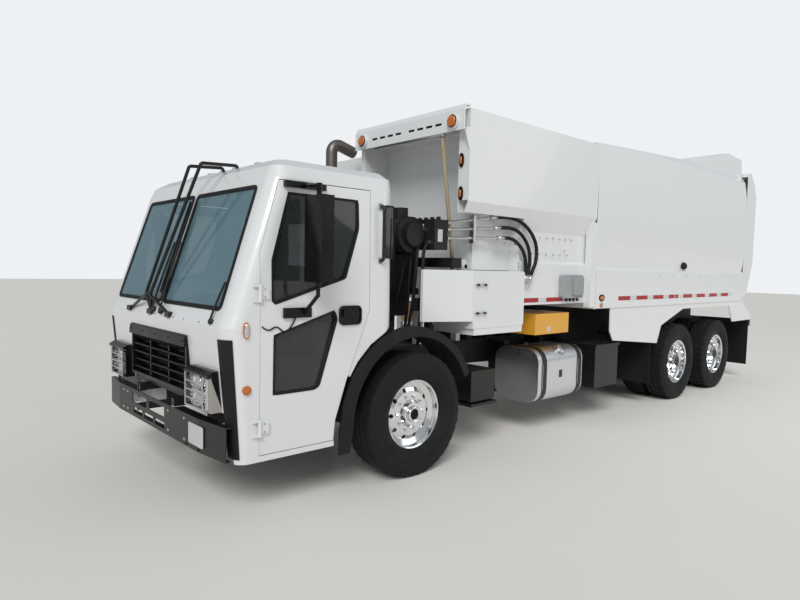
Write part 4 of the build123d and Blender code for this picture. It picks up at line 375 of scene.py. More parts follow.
class Piece:
    """One mesh gathered from simple forms, then given a finish and a body to ride on."""

    def __init__(self, name):
        self.name = name
        self.mesh = bmesh.new()
        self.slots = []
        self.kind = 0

    def use(self, finish):
        if finish not in self.slots:
            self.slots.append(finish)
        self.kind = self.slots.index(finish)

    def join(self, verts, faces, smooth=False):
        for corners in faces:
            face = self.mesh.faces.new([verts[i] for i in corners])
            face.material_index = self.kind
            face.smooth = smooth

    def faces(self, points, faces, smooth=False):
        self.join([self.mesh.verts.new(p) for p in points], faces, smooth)

    def skin(self, rings):
        """Rings of points, one after another, as one smooth form with closed ends."""
        sides = len(rings[0])
        count = sides * len(rings)
        walls = []
        for here in range(0, count - sides, sides):
            there = here + sides
            for i in range(sides):
                j = (i + 1) % sides
                walls.append((here + i, here + j, there + j, there + i))
        ends = [tuple(reversed(range(sides))), tuple(range(count - sides, count))]
        self.faces([p for points in rings for p in points], walls + ends, True)

    def block(self, x, y, z, bevel=0.0):
        """A box between limits, its edges rounded off by a chamfer."""
        verts = bmesh.ops.create_cube(self.mesh, size=1)["verts"]
        centre = Vector([(low + high) / 2 for low, high in (x, y, z)])
        size = Vector([high - low for low, high in (x, y, z)])
        for v in verts:
            v.co = Vector(a * b for a, b in zip(v.co, size)) + centre
        for f in {f for v in verts for f in v.link_faces}:
            f.material_index = self.kind
        if bevel:
            edges = list({e for v in verts for e in v.link_edges})
            done = bmesh.ops.bevel(self.mesh, geom=edges, offset=bevel, segments=2, affect="EDGES")
            for f in done["faces"]:
                f.material_index = self.kind

    def disc(self, centre, axis, radius, thick, sides=24, top=1.0, smooth=True):
        """A short round boss along an axis; top narrows its far end."""
        axis, one, two = square_to(axis)
        base = ring(Vector(centre), one, two, radius, sides)
        crown = ring(Vector(centre) + axis * thick, one, two, radius * top, sides)
        verts = [self.mesh.verts.new(p) for p in base + crown]
        walls, ends = prism(sides)
        self.join(verts, walls, smooth)
        self.join(verts, ends)

    def lathe(self, centre, axis, profile, sides=32):
        """Turned form: profile is (distance along the axis, radius) pairs."""
        axis, one, two = square_to(axis)
        centre = Vector(centre)
        self.skin([ring(centre + axis * along, one, two, radius, sides) for along, radius in profile])

    def plate(self, outline, normal, thick):
        """A flat plate with a straight-sided outline, pushed out along its normal."""
        push = Vector(normal).normalized() * thick
        low = [Vector(p) for p in outline]
        walls, ends = prism(len(low))
        self.faces(low + [p + push for p in low], walls + ends)

    def dome(self, centre, axis, across, half, rise, sides=24):
        """A lens or cap: an oval base that curves up to its top; half is its two half widths."""
        axis = Vector(axis).normalized()
        one = Vector(across).normalized()
        two = axis.cross(one) * half[1]
        one = one * half[0]
        centre = Vector(centre)
        self.skin([ring(centre + axis * rise * level, one, two, share, sides) for share, level in DOME])

    def band(self, outline, normal, width, thick):
        """A closed band along an outline, raised along its normal; width grows to the inside."""
        push = Vector(normal).normalized()
        points = [Vector(p) for p in outline]
        count = len(points)
        inner = []
        for i, p in enumerate(points):
            before = push.cross((p - points[i - 1]).normalized())
            after = push.cross((points[(i + 1) % count] - p).normalized())
            middle = (before + after).normalized()
            inner.append(p + middle * width / max(middle.dot(before), 0.4))
        rows = [points, inner, [p + push * thick for p in inner], [p + push * thick for p in points]]
        walls = []
        for r in range(4):
            for i in range(count):
                j = (i + 1) % count
                s = (r + 1) % 4
                walls.append((r * count + i, r * count + j, s * count + j, s * count + i))
        self.faces([p for row in rows for p in row], walls)

    def tyre(self, middle, axle_y, half, grooves, slots, sides=120):
        """A tyre round the X axis: moulded rings, grooves round the tread and slots in its ribs."""
        rows = [(x * half, r, 0.0) for x, r in TYRE_WALL]
        edges = [-TREAD_EDGE]
        for place in grooves:
            edges += [place - GROOVE / half, place + GROOVE / half]
        edges.append(TREAD_EDGE)
        last = len(edges) - 2
        for rib in range(0, len(edges), 2):
            depth = slots[0] if rib in (0, last) else slots[1]
            near, far = edges[rib:rib + 2]
            near_top, far_top = (TYRE_RADIUS - CROWN_DROP * edge ** 2 for edge in (near, far))
            if rib:
                rows.append((near * half - GROOVE_SLOPE, near_top - GROOVE_DEPTH, 0.0))
            rows.append((near * half, near_top, depth))
            rows.append((far * half, far_top, depth))
            if rib < last:
                rows.append((far * half + GROOVE_SLOPE, far_top - GROOVE_DEPTH, 0.0))
        rows += [(-x * half, r, 0.0) for x, r in reversed(TYRE_WALL)]
        verts = []
        for x, radius, depth in rows:
            for i in range(sides):
                a = 2 * math.pi * i / sides
                r = radius - (depth if i % SLOT_EVERY == 0 else 0)
                place = (middle + x, axle_y + r * math.cos(a), TYRE_RADIUS + r * math.sin(a))
                verts.append(self.mesh.verts.new(place))
        count = len(rows)
        side_rows = len(TYRE_WALL)
        for smooth in (True, False):
            walls = []
            for r in range(count):
                on_wall = r < side_rows - 1 or r >= count - side_rows
                if on_wall != smooth:
                    continue
                s = (r + 1) % count
                for i in range(sides):
                    j = (i + 1) % sides
                    walls.append((r * sides + i, s * sides + i, s * sides + j, r * sides + j))
            self.join(verts, walls, smooth)

    def finish(self, body, slot, replaces=()):
        bmesh.ops.recalc_face_normals(self.mesh, faces=self.mesh.faces[:])
        data = bpy.data.meshes.new(self.name)
        self.mesh.to_mesh(data)
        self.mesh.free()
        made = bpy.data.objects.new(self.name, data)
        for look in self.slots:
            data.materials.append(LOOK[look])
        bpy.context.scene.collection.objects.link(made)
        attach(made, body)
        if replaces:
            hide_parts(*replaces)
        return made


def bent(name, finish, radius, runs, body, replaces=()):
    """Hoses, wires and bent rods: round NURBS runs of one radius."""
    data = bpy.data.curves.new(name, "CURVE")
    data.dimensions = "3D"
    data.bevel_depth = radius
    data.bevel_resolution = 3
    data.resolution_u = 8
    data.use_fill_caps = True
    for run in runs:
        spline = data.splines.new("NURBS")
        spline.points.add(len(run) - 1)
        for point, place in zip(spline.points, run):
            point.co = (*place, 1)
        spline.order_u = 3
        spline.use_endpoint_u = True
    data.materials.append(LOOK[finish])
    made = bpy.data.objects.new(name, data)
    bpy.context.scene.collection.objects.link(made)
    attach(made, body)
    if replaces:
        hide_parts(*replaces)


# Measures shared with the solids
FRONT_HALF = 0.1575
DUAL_HALF = 0.135
DUAL_SPACING = 0.335
CAB_SIDE = 1.200
CAB_FOOT_SIDE = 1.190
CAB_FOOT_Z = 0.405
CAB_BELT_Z = 1.327
CAB_LEAN = 0.015  # how far each side leans in from the windscreen's foot to its top
BODY_SIDE = 1.220
HOPPER_LOW_SIDE = 1.150
FRONT_FACE = at(-1.722)
SCREEN_FOOT_Z = 1.415
SCREEN_RUN = 0.317
SCREEN_RISE = 0.935
SCREEN_BASE = Vector((0, at(-1.662), SCREEN_FOOT_Z))
SCREEN_UP = Vector((0, SCREEN_RUN, SCREEN_RISE)).normalized()
SCREEN_OUT = Vector((0, -SCREEN_RISE, SCREEN_RUN)).normalized()
# Outlines of the side windows: station, height
UPPER_WINDOW = (
    (-1.239, 2.254), (-0.624, 2.250), (-0.617, 2.036), (-0.737, 1.664),
    (-0.764, 1.651), (-1.341, 1.480), (-1.367, 1.506), (-1.369, 1.785),
)
LOWER_WINDOW = (
    (-1.351, 1.273), (-0.840, 1.430), (-0.811, 1.366), (-0.964, 0.879), (-1.009, 0.854), (-1.353, 0.854),
)
QUARTER_WINDOW = ((-0.361, 2.236), (-0.262, 2.236), (-0.262, 1.821), (-0.361, 1.821))
DOORS = ((1, "left_door"), (-1, "right_door"))


def cab_side(z):
    """Half width of the cab's side at a height."""
    if z < CAB_BELT_Z:
        share = (z - CAB_FOOT_Z) / (CAB_BELT_Z - CAB_FOOT_Z)
        return CAB_FOOT_SIDE + (CAB_SIDE - CAB_FOOT_SIDE) * share
    return CAB_SIDE - max(z - SCREEN_FOOT_Z, 0) * CAB_LEAN / SCREEN_RISE


def rounded(points, radius, steps=4):
    """An outline with its corners rounded off."""
    corners = [Vector(p) for p in points]
    count = len(corners)
    route = []
    for i, p in enumerate(corners):
        before, after = corners[i - 1], corners[(i + 1) % count]
        reach = min(radius, (before - p).length * 0.4, (after - p).length * 0.4)
        start = p + (before - p).normalized() * reach
        end = p + (after - p).normalized() * reach
        for k in range(steps + 1):
            t = k / steps
            route.append(start * (1 - t) ** 2 + p * 2 * t * (1 - t) + end * t ** 2)
    return route


def screen_point(across, up, proud=0.0):
    return SCREEN_BASE + Vector((across, 0, 0)) + SCREEN_UP * up + SCREEN_OUT * proud


def paint_faces(node, look, chosen):
    """Give those faces of a CAD node whose centres pass a test another finish."""
    mesh = NODES[node].data
    mesh.materials.append(LOOK[look])
    slot = len(mesh.materials) - 1
    for face in mesh.polygons:
        if chosen(face.center):
            face.material_index = slot


# Wheels
WHEELS = (
    # tyre node, body, axle station, side, twin
    ("tyre_front_left", "front_left_wheel", 0.0, 1, False),
    ("tyre_front_right", "front_right_wheel", 0.0, -1, False),
    ("tyres_mid_left", "mid_left_wheel", 5.063, 1, True),
    ("tyres_mid_right", "mid_right_wheel", 5.063, -1, True),
    ("tyres_rear_left", "rear_left_wheel", 6.406, 1, True),
    ("tyres_rear_right", "rear_right_wheel", 6.406, -1, True),
)
STEER_GROOVES = (-0.56, -0.19, 0.19, 0.56)
DRIVE_GROOVES = (-0.48, 0.0, 0.48)


def make_wheels():
    for node, body, station, side, twin in WHEELS:
        low, high = (Vector(c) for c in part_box(node))
        piece = Piece(f"{node}_tread")
        piece.use("tyre")
        if twin:
            outer = side * (max(abs(low.x), abs(high.x)) - DUAL_HALF)
            for middle in (outer, outer - side * DUAL_SPACING):
                piece.tyre(middle, at(station), DUAL_HALF, DRIVE_GROOVES, (0.012, 0.010), 108)
        else:
            piece.tyre((low.x + high.x) / 2, at(station), FRONT_HALF, STEER_GROOVES, (0.006, 0.0))
        piece.finish(body, "tyre_rubber", [node])
        rim = node.replace("tyres", "rims").replace("tyre", "rim")
        make_hub_cap(rim, body, at(station), side, twin)


def make_hub_cap(rim, body, y, side, twin):
    """A bolted cast cap on the twin wheels, and a bright ring round a dark middle in front."""
    low, high = (Vector(c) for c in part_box(rim))
    face_x = high.x if side > 0 else low.x
    out = (side, 0, 0)
    centre = (face_x - side * 0.004, y, TYRE_RADIUS)
    cap = Piece(f"{rim}_hub_cap")
    if twin:
        cap.use("cast")
        cap.lathe(centre, out, ((0, 0.070), (0.006, 0.070), (0.010, 0.060), (0.011, 0.002)))
        cap.use("steel")
        for n in range(8):
            a = math.pi * n / 4
            spot = (face_x + side * 0.003, y + 0.052 * math.cos(a), TYRE_RADIUS + 0.052 * math.sin(a))
            cap.disc(spot, out, 0.007, 0.008, 6, 0.9, False)
    else:
        cap.use("chrome")
        profile = ((0, 0.066), (0.007, 0.066), (0.012, 0.058), (0.012, 0.048), (0.006, 0.046))
        cap.lathe(centre, out, profile)
        cap.use("hole")
        cap.dome((face_x + side * 0.001, y, TYRE_RADIUS), out, (0, 1, 0), (0.046, 0.046), 0.006)
    cap.finish(body, "polished_alloy")


# Cab: seals, wipers, lamps, handles
SCREEN_PANE = ((0.018, 0.020), (1.036, 0.020), (1.005, 0.940), (0.018, 0.940))  # across, up the glass


def make_seals():
    glass = Piece("windscreen_gaskets")
    glass.use("rubber")
    for side in (1, -1):
        outline = [screen_point(side * x, up) for x, up in SCREEN_PANE]
        glass.band(rounded(outline, 0.055, 6), SCREEN_OUT, side * 0.030, 0.007)
    glass.finish("cab", "black_plastic")
    for side, body in DOORS:
        seals = Piece(f"{body}_window_seals")
        seals.use("rubber")
        for window in (UPPER_WINDOW, LOWER_WINDOW):
            outline = [Vector((side * (cab_side(z) - 0.001), at(y), z)) for y, z in window]
            seals.band(rounded(outline, 0.035), (side, 0, 0), -side * 0.016, 0.005)
        seals.finish(body, "black_plastic")
    quarter = Piece("quarter_window_seals")
    quarter.use("rubber")
    for side in (1, -1):
        outline = [Vector((side * (cab_side(z) - 0.001), at(y), z)) for y, z in QUARTER_WINDOW]
        quarter.band(rounded(outline, 0.02), (side, 0, 0), -side * 0.012, 0.005)
    quarter.finish("cab", "black_plastic")


def make_wipers():
    wipers = Piece("wipers")
    wipers.use("black")
    arms = []
    blades = []
    for across, lean in ((-0.085, -0.015), (0.085, 0.02)):
        foot = screen_point(across, -0.045, 0.004)
        wipers.disc(foot, SCREEN_OUT, 0.026, 0.030, 20)
        tip = screen_point(across * 0.5 + lean, 0.52, 0.034)
        arms.append([foot + SCREEN_OUT * 0.026, screen_point(across * 0.8, 0.20, 0.040), tip])
        low, high = (screen_point(across * 0.5 + lean, up, 0.014) for up in (0.10, 0.88))
        blades.append([low, tip - SCREEN_OUT * 0.018, high])
    # Short arm parked at the lower left corner
    foot = screen_point(0.965, -0.060, 0.002)
    wipers.disc(foot, SCREEN_OUT, 0.020, 0.024, 16)
    arms.append([
        foot + SCREEN_OUT * 0.02, screen_point(0.985, 0.06, 0.030), screen_point(1.010, 0.22, 0.020),
    ])
    wipers.finish("cab", "black_plastic")
    bent("wiper_arms", "black", 0.008, arms, "cab")
    bent("wiper_blades", "rubber", 0.009, blades, "cab")


def make_cab_lamps():
    lamps = Piece("cab_side_lamps")
    for side in (1, -1):
        x = side * (cab_side(0.914) + 0.0118)
        lamps.use("amber")
        lamps.dome((x, at(-1.552), 0.914), (side, 0, 0), (0, 1, 0), (0.026, 0.026), 0.010)
        lamps.use("chrome")
        x = side * (cab_side(1.314) + 0.0138)
        lamps.dome((x, at(-1.560), 1.314), (side, 0, 0), (0, 0, 1), (0.048, 0.018), 0.005)
        lamps.use("clear")
        lamps.dome((x + side * 0.003, at(-1.560), 1.314), (side, 0, 0), (0, 0, 1), (0.036, 0.013), 0.008)
    lamps.finish("cab", "lamp_cluster")


def make_cowl_bolts():
    bolts = Piece("cowl_bolts")
    bolts.use("steel")
    for x in (-0.70, -0.52, -0.22, -0.04, 0.15, 0.33, 0.52, 0.78):
        bolts.disc((x, at(-1.6935), 1.345), (0, -1, 0.3), 0.007, 0.006, 6, 0.9, False)
    bolts.finish("cab", "pipe_steel")


def make_door_trim():
    """The wire to each mirror, along the door's skin, and the bolts of the hinges."""
    for side, body in DOORS:
        trim = Piece(f"{body}_trim")
        wire = [
            (side * 1.202, at(-1.44), 1.335), (side * 1.206, at(-1.40), 1.295),
            (side * 1.206, at(-1.33), 1.340), (side * 1.206, at(-1.27), 1.280),
            (side * 1.206, at(-1.21), 1.325), (side * 1.212, at(-1.18), 1.392),
        ]
        bent(f"{body}_mirror_wire", "rubber", 0.005, [wire], body)
        trim.use("grey")
        for z in (0.645, 1.562):
            for step in (-0.045, 0.045):
                spot = (side * 1.2145, at(-1.425), z + step * 0.6)
                trim.disc(spot, (side, 0, 0), 0.006, 0.004, 6, 0.9, False)
        trim.finish(body, "black_plastic")


def make_grab_bars():
    feet = Piece("cab_grab_feet")
    feet.use("grey")
    bars = []
    for side in (1, -1):
        x = side * 1.192
        y = at(-0.405)
        reach = x + side * 0.044
        bars.append([
            (x, y, 1.80), (reach, y, 1.80), (reach, y, 1.86),
            (reach, y, 2.16), (reach, y, 2.22), (x, y, 2.22),
        ])
        foot_x = sorted((x - side * 0.004, x + side * 0.006))
        for z in (1.80, 2.22):
            feet.block(foot_x, (at(-0.425), at(-0.385)), (z - 0.025, z + 0.025), 0.003)
    feet.finish("cab", "black_plastic")
    bent("cab_grab_bars", "black", 0.014, bars, "cab")


def upright(x, y, z):
    """Corners of a rectangle that faces along Y."""
    return [(x[0], y, z[0]), (x[1], y, z[0]), (x[1], y, z[1]), (x[0], y, z[1])]


def make_front_plate():
    plate = Piece("blank_front_plate")
    plate.use("pale")
    outline = upright((0.665, 0.905), FRONT_FACE, (0.475, 0.625))
    plate.plate(rounded(outline, 0.015), (0, -1, 0), 0.004)
    plate.finish("chassis", "white_paint")


def bolt_row(piece, spots, axis, radius, rise):
    for spot in spots:
        piece.disc(spot, axis, radius, rise, 6, 0.85, False)


def make_bumper_bolts():
    bolts = Piece("bumper_bolts")
    bolts.use("steel")
    spots = [(x, FRONT_FACE, z) for x in (-0.70, -0.60, 0.30, 0.60) for z in (0.485, 0.635)]
    bolt_row(bolts, spots, (0, -1, 0), 0.014, 0.010)
    bolts.use("black")
    bolt_row(bolts, [(x, FRONT_FACE - 0.001, 0.45) for x in (0.82, 0.62)], (0, -1, 0), 0.010, 0.008)
    bolts.finish("chassis", "pipe_steel")


# Hopper and body trim
TAPE_LIFT = 0.0003
TAPE_FACE = 0.0018


def make_tape():
    """Red and white tape on the body's sills, the hopper's lower side and the tailgate."""
    tape = Piece("safety_tape")
    for side in (1, -1):
        x = span(side, BODY_SIDE + TAPE_LIFT, BODY_SIDE + TAPE_FACE)
        for number in range(8):
            place = at(3.30 + 0.45 * number)
            tape.use("tape_red")
            tape.block(x, (place, place + 0.29), (1.415, 1.465))
            tape.use("tape_white")
            tape.block(x, (place + 0.29, place + 0.45), (1.415, 1.465))
    x = (HOPPER_LOW_SIDE + TAPE_LIFT, HOPPER_LOW_SIDE + TAPE_FACE)
    for place, length, finish in (
        (1.48, 0.30, "tape_red"), (1.78, 0.14, "tape_white"),
        (1.92, 0.30, "tape_red"), (2.24, 0.14, "tape_white"),
    ):
        tape.use(finish)
        tape.block(x, (at(place), at(place + length)), (1.425, 1.470))
    tape.finish("chassis", "white_paint")
    rear = Piece("tailgate_tape")
    rear_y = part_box("tailgate")[1][1]
    for side in (1, -1):
        for number in range(6):
            rear.use("tape_white" if number % 2 else "tape_red")
            z = 2.00 + number * 0.13
            rear.block(span(side, 1.140, 1.190), (rear_y + TAPE_LIFT, rear_y + TAPE_FACE), (z, z + 0.13))
    rear.finish("tail", "white_paint")


def make_posts():
    """A closing post behind the hopper on the left, and a lamp plate on each side of the body."""
    posts = Piece("hopper_rear_posts")
    posts.use("white")
    posts.block((1.140, BODY_SIDE + 0.004), (at(2.655), at(2.756)), (1.345, 2.300), 0.006)
    for side in (1, -1):
        x = span(side, BODY_SIDE + 0.0003, BODY_SIDE + 0.012)
        posts.block(x, (at(2.775), at(3.000)), (1.335, 1.762), 0.005)
    posts.finish("chassis", "white_paint")
    lamps = Piece("post_lamps")
    for side in (1, -1):
        x = side * (BODY_SIDE + 0.012)
        lamps.use("hole")
        lamps.dome((x, at(2.900), 1.454), (side, 0, 0), (0, 1, 0), (0.066, 0.040), 0.008)
        lamps.use("amber")
        lamps.dome((x + side * 0.003, at(2.900), 1.454), (side, 0, 0), (0, 1, 0), (0.050, 0.026), 0.014)
        lamps.use("steel")
        lamps.dome((x, at(2.890), 1.372), (side, 0, 0), (0, 1, 0), (0.036, 0.034), 0.006)
        lamps.use("amber")
        lamps.dome((x + side * 0.003, at(2.890), 1.372), (side, 0, 0), (0, 1, 0), (0.025, 0.025), 0.012)
    lamps.finish("chassis", "lamp_cluster")


def make_hopper_bolts():
    bolts = Piece("hopper_bolts")
    bolts.use("steel")
    rows = [(at(1.66 + 0.114 * n), 2.085) for n in range(7)]
    rows += [(at(1.50 + 0.128 * n), 1.918) for n in range(7)]
    rows += [(at(2.22), 1.965), (at(1.28), 1.92), (at(1.35), 2.0), (at(1.20), 2.0)]
    bolt_row(bolts, [(HOPPER_LOW_SIDE, y, z) for y, z in rows], (1, 0, 0), 0.011, 0.007)
    bolts.finish("chassis", "pipe_steel")


def make_prop_pole():
    """The pole from the hopper's header to the machinery, and the capped filler on the toolbox."""
    pole = Piece("prop_pole")
    top = Vector((0.930, at(0.525), 2.962))
    foot = Vector((0.983, at(0.660), 1.745))
    pole.use("tan")
    pole.disc(foot, top - foot, 0.017, (top - foot).length, 16)
    pole.use("steel")
    for place in (foot, top):
        pole.disc(place + (foot - top).normalized() * 0.03, top - foot, 0.025, 0.06, 16)
    pole.use("pale")
    profile = ((0, 0.050), (0.070, 0.050), (0.085, 0.040), (0.100, 0.038), (0.104, 0.002))
    pole.lathe((0.966, at(0.800), 1.738), (0, 0, 1), profile, 28)
    # A near-black spot on the filler's side: painted shade of a small opening
    pole.use("hole")
    pole.dome((1.0145, at(0.800), 1.775), (1, 0, 0), (0, 1, 0), (0.020, 0.020), 0.005)
    pole.finish("chassis", "yellow_paint")


def make_latch_studs():
    latches = Piece("toolbox_latch_studs")
    latches.use("black")
    for z in (1.352, 1.610):
        for y in (0.735, 0.835):
            latches.disc((1.2302, at(y), z), (1, 0, 0), 0.012, 0.012, 12)
    latches.finish("toolbox_lid", "black_plastic")


def make_body_trim():
    plug = Piece("body_plugs")
    plug.use("rubber")
    for side in (1, -1):
        place = (side * (BODY_SIDE - 0.016), at(5.094), 1.855)
        plug.dome(place, (side, 0, 0.1), (0, 1, 0), (0.075, 0.050), 0.035)
    plug.finish("chassis", "black_plastic")
    bolts = Piece("sill_bolts")
    bolts.use("steel")
    for side in (1, -1):
        spots = [(side * BODY_SIDE, at(4.35 + 0.42 * n), 1.722) for n in range(7)]
        bolt_row(bolts, spots, (side, 0, 0), 0.008, 0.005)
    bolts.finish("chassis", "pipe_steel")
    seams = Piece("sill_seams")
    seams.use("white")
    for side in (1, -1):
        x = span(side, BODY_SIDE, BODY_SIDE + 0.003)
        for place in (4.83, 6.90):
            seams.block(x, (at(place), at(place + 0.012)), (1.345, 1.755), 0.001)
    seams.finish("chassis", "white_paint")


def make_rear_lamps():
    lamps = Piece("tail_lamps")
    y = at(7.850)
    for side in (1, -1):
        for place, finish in ((0.81, "red"), (0.89, "clear"), (0.98, "amber"), (1.06, "red")):
            lamps.use("hole")
            lamps.disc((side * place, y + 0.0003, 0.9475), (0, 1, 0), 0.0315, 0.005, 24)
            lamps.use(finish)
            lamps.dome((side * place, y + 0.0055, 0.9475), (0, 1, 0), (1, 0, 0), (0.029, 0.028), 0.012)
    lamps.finish("chassis", "lamp_cluster")


MACHINERY_HOSES = (
    # x, station and height of the upper end, first drop, reach forward
    (0.78, 0.400, 2.02, 0.55, 0.10), (0.86, 0.402, 2.10, 0.70, 0.16),
    (0.94, 0.398, 1.98, 0.62, 0.08), (0.70, 0.404, 2.06, 0.50, 0.20),
)


def make_engine_bay():
    """Hoses, their fittings and blank labels on the machinery behind the cab."""
    hoses = []
    for x, y, z, drop, reach in MACHINERY_HOSES:
        hoses.append([
            (x, at(y - 0.01), z), (x + 0.01, at(y - 0.09), z - 0.02),
            (x + 0.03, at(y - 0.12), z - drop * 0.4),
            (x + 0.02, at(y - 0.10 - reach * 0.3), z - drop),
            (x - 0.05, at(y - reach), z - drop - 0.30),
        ])
    bent("machinery_hoses", "rubber", 0.015, hoses, "chassis")
    ends = Piece("machinery_fittings")
    ends.use("steel")
    for x, _, z, _, _ in MACHINERY_HOSES:
        ends.disc((x, at(0.392), z), (0, -1, 0), 0.022, 0.035, 6, 1.0, False)
    ends.use("pale")
    ends.block((1.0002, 1.0016), (at(0.43), at(0.49)), (1.99, 2.10))
    ends.block((0.80, 0.86), (at(0.3882), at(0.3896)), (2.08, 2.15))
    ends.finish("chassis", "pipe_steel")


TANK_STRAPS = (1.925, 2.595)


def make_tank_trim():
    """The tank's cap, the bright edges of its straps, a gauge sender and two blank labels."""
    cap = Piece("tank_cap")
    lean = Vector((1, 0, 1)).normalized()
    neck = Vector((1.010, at(2.245), 0.775)) + lean * 0.186
    cap.use("steel")
    cap.lathe(neck - lean * 0.022, lean, ((0, 0.060), (0.030, 0.060), (0.036, 0.052), (0.036, 0.002)), 32)
    for place in TANK_STRAPS:
        for edge in (-0.0395, 0.0335):
            y = (at(place + edge), at(place + edge + 0.006))
            cap.block((1.1662, 1.1682), y, (0.50, 0.77))
    cap.use("black")
    cap.block((0.70, 0.76), (at(2.10), at(2.18)), (0.9255, 0.945), 0.004)
    cap.finish("chassis", "pipe_steel")
    label = Piece("blank_labels")
    label.use("pale")
    label.block((1.1004, 1.1012), (at(2.03), at(2.09)), (1.10, 1.155))
    label.use("black")
    label.block((1.1602, 1.1612), (at(2.20), at(2.26)), (0.60, 0.68))
    label.finish("chassis", "white_paint")


def paint_nodes():
    """Second finishes on CAD pieces that carry more than one."""
    paint_faces("cab_lamps", "amber", lambda c: c.z < 1.6)
    paint_faces("cab_shell", "black", lambda c: c.z < 0.80 and abs(c.x) < 0.62)
    paint_faces("headlamps", "steel", lambda c: c.z < 0.99 and c.y < at(-1.739))
    paint_faces("headlamps", "beige", lambda c: c.z < 0.985 and abs(c.x) > 0.953 and c.y < at(-1.69))
    paint_faces(
        "headlamps", "chrome",
        lambda c: 0.698 <= abs(c.x) <= 0.953 and 0.76 < c.z < 0.985 and c.y > at(-1.7265),
    )
    paint_faces("cab_glass", "side_glass", lambda c: abs(c.x) > 1.10)
    for door in ("door_left", "door_right"):
        paint_faces(
            door, "gloss_black",
            lambda c: abs(c.x) > 1.2015 and -0.81 < c.y - at(0) < -0.59 and 1.30 < c.z < 1.47,
        )
    paint_faces("toolbox_door", "steel", lambda c: c.x > 1.2155)
    paint_faces(
        "fuel_tank", "black",
        lambda c: c.x > 0.45 and any(abs(c.y - at(y)) < 0.0405 for y in TANK_STRAPS),
    )
    paint_faces("fuel_tank", "black", lambda c: c.x < 0.60)
    # Faces of the visor beside the post near x 1.13, behind its front, painted near-black as shade
    paint_faces("header_visor", "hole", lambda c: c.y > at(0.55) and abs(c.x - 1.13) < 0.03)
    paint_faces("junction_box", "black", lambda c: c.z < 1.455)


def make_front():
    """Lamps behind the guard bars, their side lenses and clips, and the studs of the grille."""
    lamps = Piece("headlamp_faces")
    for side in (1, -1):
        x = side * 0.825
        for z, radius in ((0.814, 0.046), (0.930, 0.044)):
            lamps.use("chrome")
            face = (x, at(-1.7145), z)
            bowl = ((0, radius), (0.006, radius), (0.001, radius * 0.72), (0.0005, 0.002))
            lamps.lathe(face, (0, -1, 0), bowl)
            lamps.use("clear")
            half = (radius * 0.86, radius * 0.86)
            lamps.dome((x, at(-1.7165), z), (0, -1, 0), (1, 0, 0), half, 0.007, 32)
        lamps.block(span(side, 0.972, 1.014), (at(-1.7385), at(-1.7362)), (0.770, 0.976), 0.001)
        lamps.use("black")
        for z in (0.79, 0.90):
            lamps.block(span(side, 0.945, 0.963), (at(-1.7498), at(-1.7400)), (z, z + 0.03), 0.001)
    lamps.finish("cab", "lamp_cluster")
    studs = Piece("grille_studs")
    studs.use("black")
    spots = [(x, at(-1.7202), 1.19) for x in (-0.54, -0.27, 0.0, 0.27, 0.54)]
    bolt_row(studs, spots, (0, -1, 0), 0.007, 0.005)
    studs.finish("cab", "black_plastic")


def make_mirrors():
    for side, body in DOORS:
        mirror = Piece(f"{body}_mirror_glass")
        mirror.use("mirror")
        x = span(side, 1.302, 1.474)
        y = at(-1.0652)
        for z in ((1.82, 2.21), (1.655, 1.80)):
            mirror.plate(rounded(upright(x, y, z), 0.02), (0, 1, 0), 0.0014)
        mirror.finish(body, "polished_alloy")


SLOT_STEP = 0.118
SLOT_Z = 3.040


def make_header_lamps():
    """Amber lamps of the hooded header with black rims, thin near-black plates painted as the shade inside
    its slots, and the pair on its post.
    """
    lamps = Piece("header_lamps")
    for x in (1.098, -0.162):
        lamps.use("hole")
        lamps.dome((x, at(0.4655), 3.040), (0, -1, 0), (1, 0, 0), (0.057, 0.057), 0.003, 32)
        lamps.use("amber")
        lamps.dome((x, at(0.463), 3.040), (0, -1, 0), (1, 0, 0), (0.050, 0.050), 0.016, 32)
    for z in (2.420, 2.712):
        lamps.use("amber")
        lamps.dome((1.130, at(0.5635), z), (0, -1, 0), (0, 0, 1), (0.036, 0.016), 0.010)
    # Thin near-black plates for the slots: painted shade where the openings would be
    lamps.use("hole")
    for middle in (0.190, 0.730):
        for step in (-1.5, -0.5, 0.5, 1.5):
            x = middle + step * SLOT_STEP
            lamps.block((x - 0.045, x + 0.045), (at(0.4995), at(0.5010)), (SLOT_Z - 0.014, SLOT_Z + 0.014))
    lamps.finish("chassis", "lamp_cluster")


HOSE_RUNS = (
    # station and height of the control points, from the pipe's end down to the port
    (
        (1.029, 2.236), (1.230, 2.268), (1.480, 2.215), (1.655, 2.040),
        (1.665, 1.840), (1.585, 1.730), (1.560, 1.640),
    ),
    (
        (1.087, 2.142), (1.240, 2.165), (1.400, 2.130), (1.520, 2.000),
        (1.560, 1.850), (1.530, 1.730), (1.515, 1.640),
    ),
    (
        (1.145, 2.052), (1.250, 2.065), (1.360, 2.030), (1.450, 1.930),
        (1.490, 1.820), (1.490, 1.720), (1.485, 1.640),
    ),
)
HOSE_START_X = 1.120
HOSE_END_X = 1.192


def make_hoses():
    """The three big oil hoses as smooth rubber arcs with crimped steel ends."""
    runs = []
    ends = Piece("oil_hose_ends")
    ends.use("steel")
    for route in HOSE_RUNS:
        # The hose moves out to its port's plane over the first three points
        run = [
            Vector((HOSE_START_X + (HOSE_END_X - HOSE_START_X) * min(i / 3, 1.0), at(y), z))
            for i, (y, z) in enumerate(route)
        ]
        runs.append(run)
        for first, second in ((run[0], run[1]), (run[-1], run[-2])):
            way = (second - first).normalized()
            ends.disc(first - way * 0.010, way, 0.021, 0.075, 20)
            ends.disc(first - way * 0.022, way, 0.024, 0.020, 6, 1.0, False)
    bent("oil_hose_arcs", "rubber", 0.018, runs, "chassis", ["oil_hoses"])
    ends.finish("chassis", "pipe_steel")


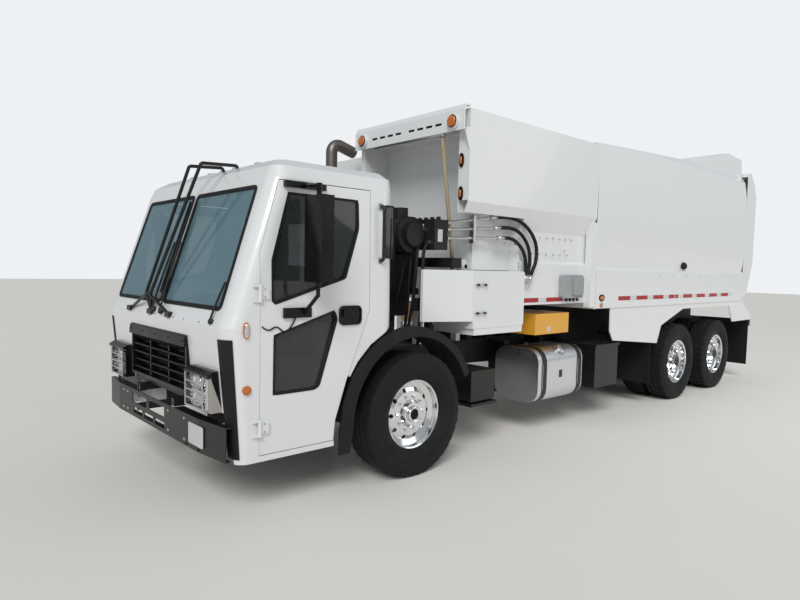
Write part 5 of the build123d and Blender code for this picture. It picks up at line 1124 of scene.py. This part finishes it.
NODE_LOOKS = {
    "frame_rails": "chassis", "front_bumper": "black", "front_axle": "cast",
    "knuckle_left": "cast", "knuckle_right": "cast",
    "rear_axles": "cast", "rear_suspension": "cast", "drive_shafts": "cast",
    "engine_block": "cast", "fuel_tank": "tank", "side_boxes": "black",
    "front_fenders": "plastic", "rear_fenders": "white", "mud_flaps": "rubber",
    "rear_bumper": "chassis", "toolbox": "white", "toolbox_door": "white",
    "power_pack": "chassis", "oil_pipes": "steel", "oil_hoses": "rubber",
    "exhaust_stack": "dark_steel", "hopper_shell": "white", "header_visor": "white",
    "body_shell": "white", "packer_panel": "white_frame", "tailgate": "white",
    "tailgate_barrels": "chassis", "tailgate_rods": "steel", "arm_rail": "yellow",
    "arm_carriage": "white_frame", "lift_arm": "white_frame", "claw_rear": "white_frame",
    "claw_front": "white_frame", "cab_shell": "white", "cab_glass": "glass",
    "cab_interior": "fabric", "grille": "gloss_black", "headlamps": "gloss_black",
    "mirror_left": "gloss_black", "mirror_right": "gloss_black", "mirror_hoop": "black",
    "door_left": "white", "door_right": "white",
    "door_glass_left": "side_glass", "door_glass_right": "side_glass",
    "corner_trims": "plastic", "cab_lamps": "clear", "junction_box": "grey",
}


def dress_nodes():
    for name, obj in NODES.items():
        look = NODE_LOOKS.get(name)
        if look is None:
            look = "tyre" if name.startswith("tyre") else "alloy"
        obj.data.materials.clear()
        obj.data.materials.append(LOOK[look])


def make_floor():
    mesh = bpy.data.meshes.new("studio_floor")
    half = 60
    corners = [(-half, -half, 0), (half, -half, 0), (half, half, 0), (-half, half, 0)]
    mesh.from_pydata(corners, [], [(0, 1, 2, 3)])
    mesh.materials.append(LOOK["floor"])
    made = bpy.data.objects.new("studio_floor", mesh)
    bpy.context.scene.collection.objects.link(made)


make_camera()
make_light()
LOOK = make_materials()
dress_nodes()
paint_nodes()
make_wheels()
make_seals()
make_wipers()
make_cab_lamps()
make_cowl_bolts()
make_door_trim()
make_grab_bars()
make_front_plate()
make_mirrors()
make_front()
make_bumper_bolts()
make_tape()
make_posts()
make_hopper_bolts()
make_prop_pole()
make_latch_studs()
make_header_lamps()
make_body_trim()
make_rear_lamps()
make_hoses()
make_engine_bay()
make_tank_trim()
make_floor()
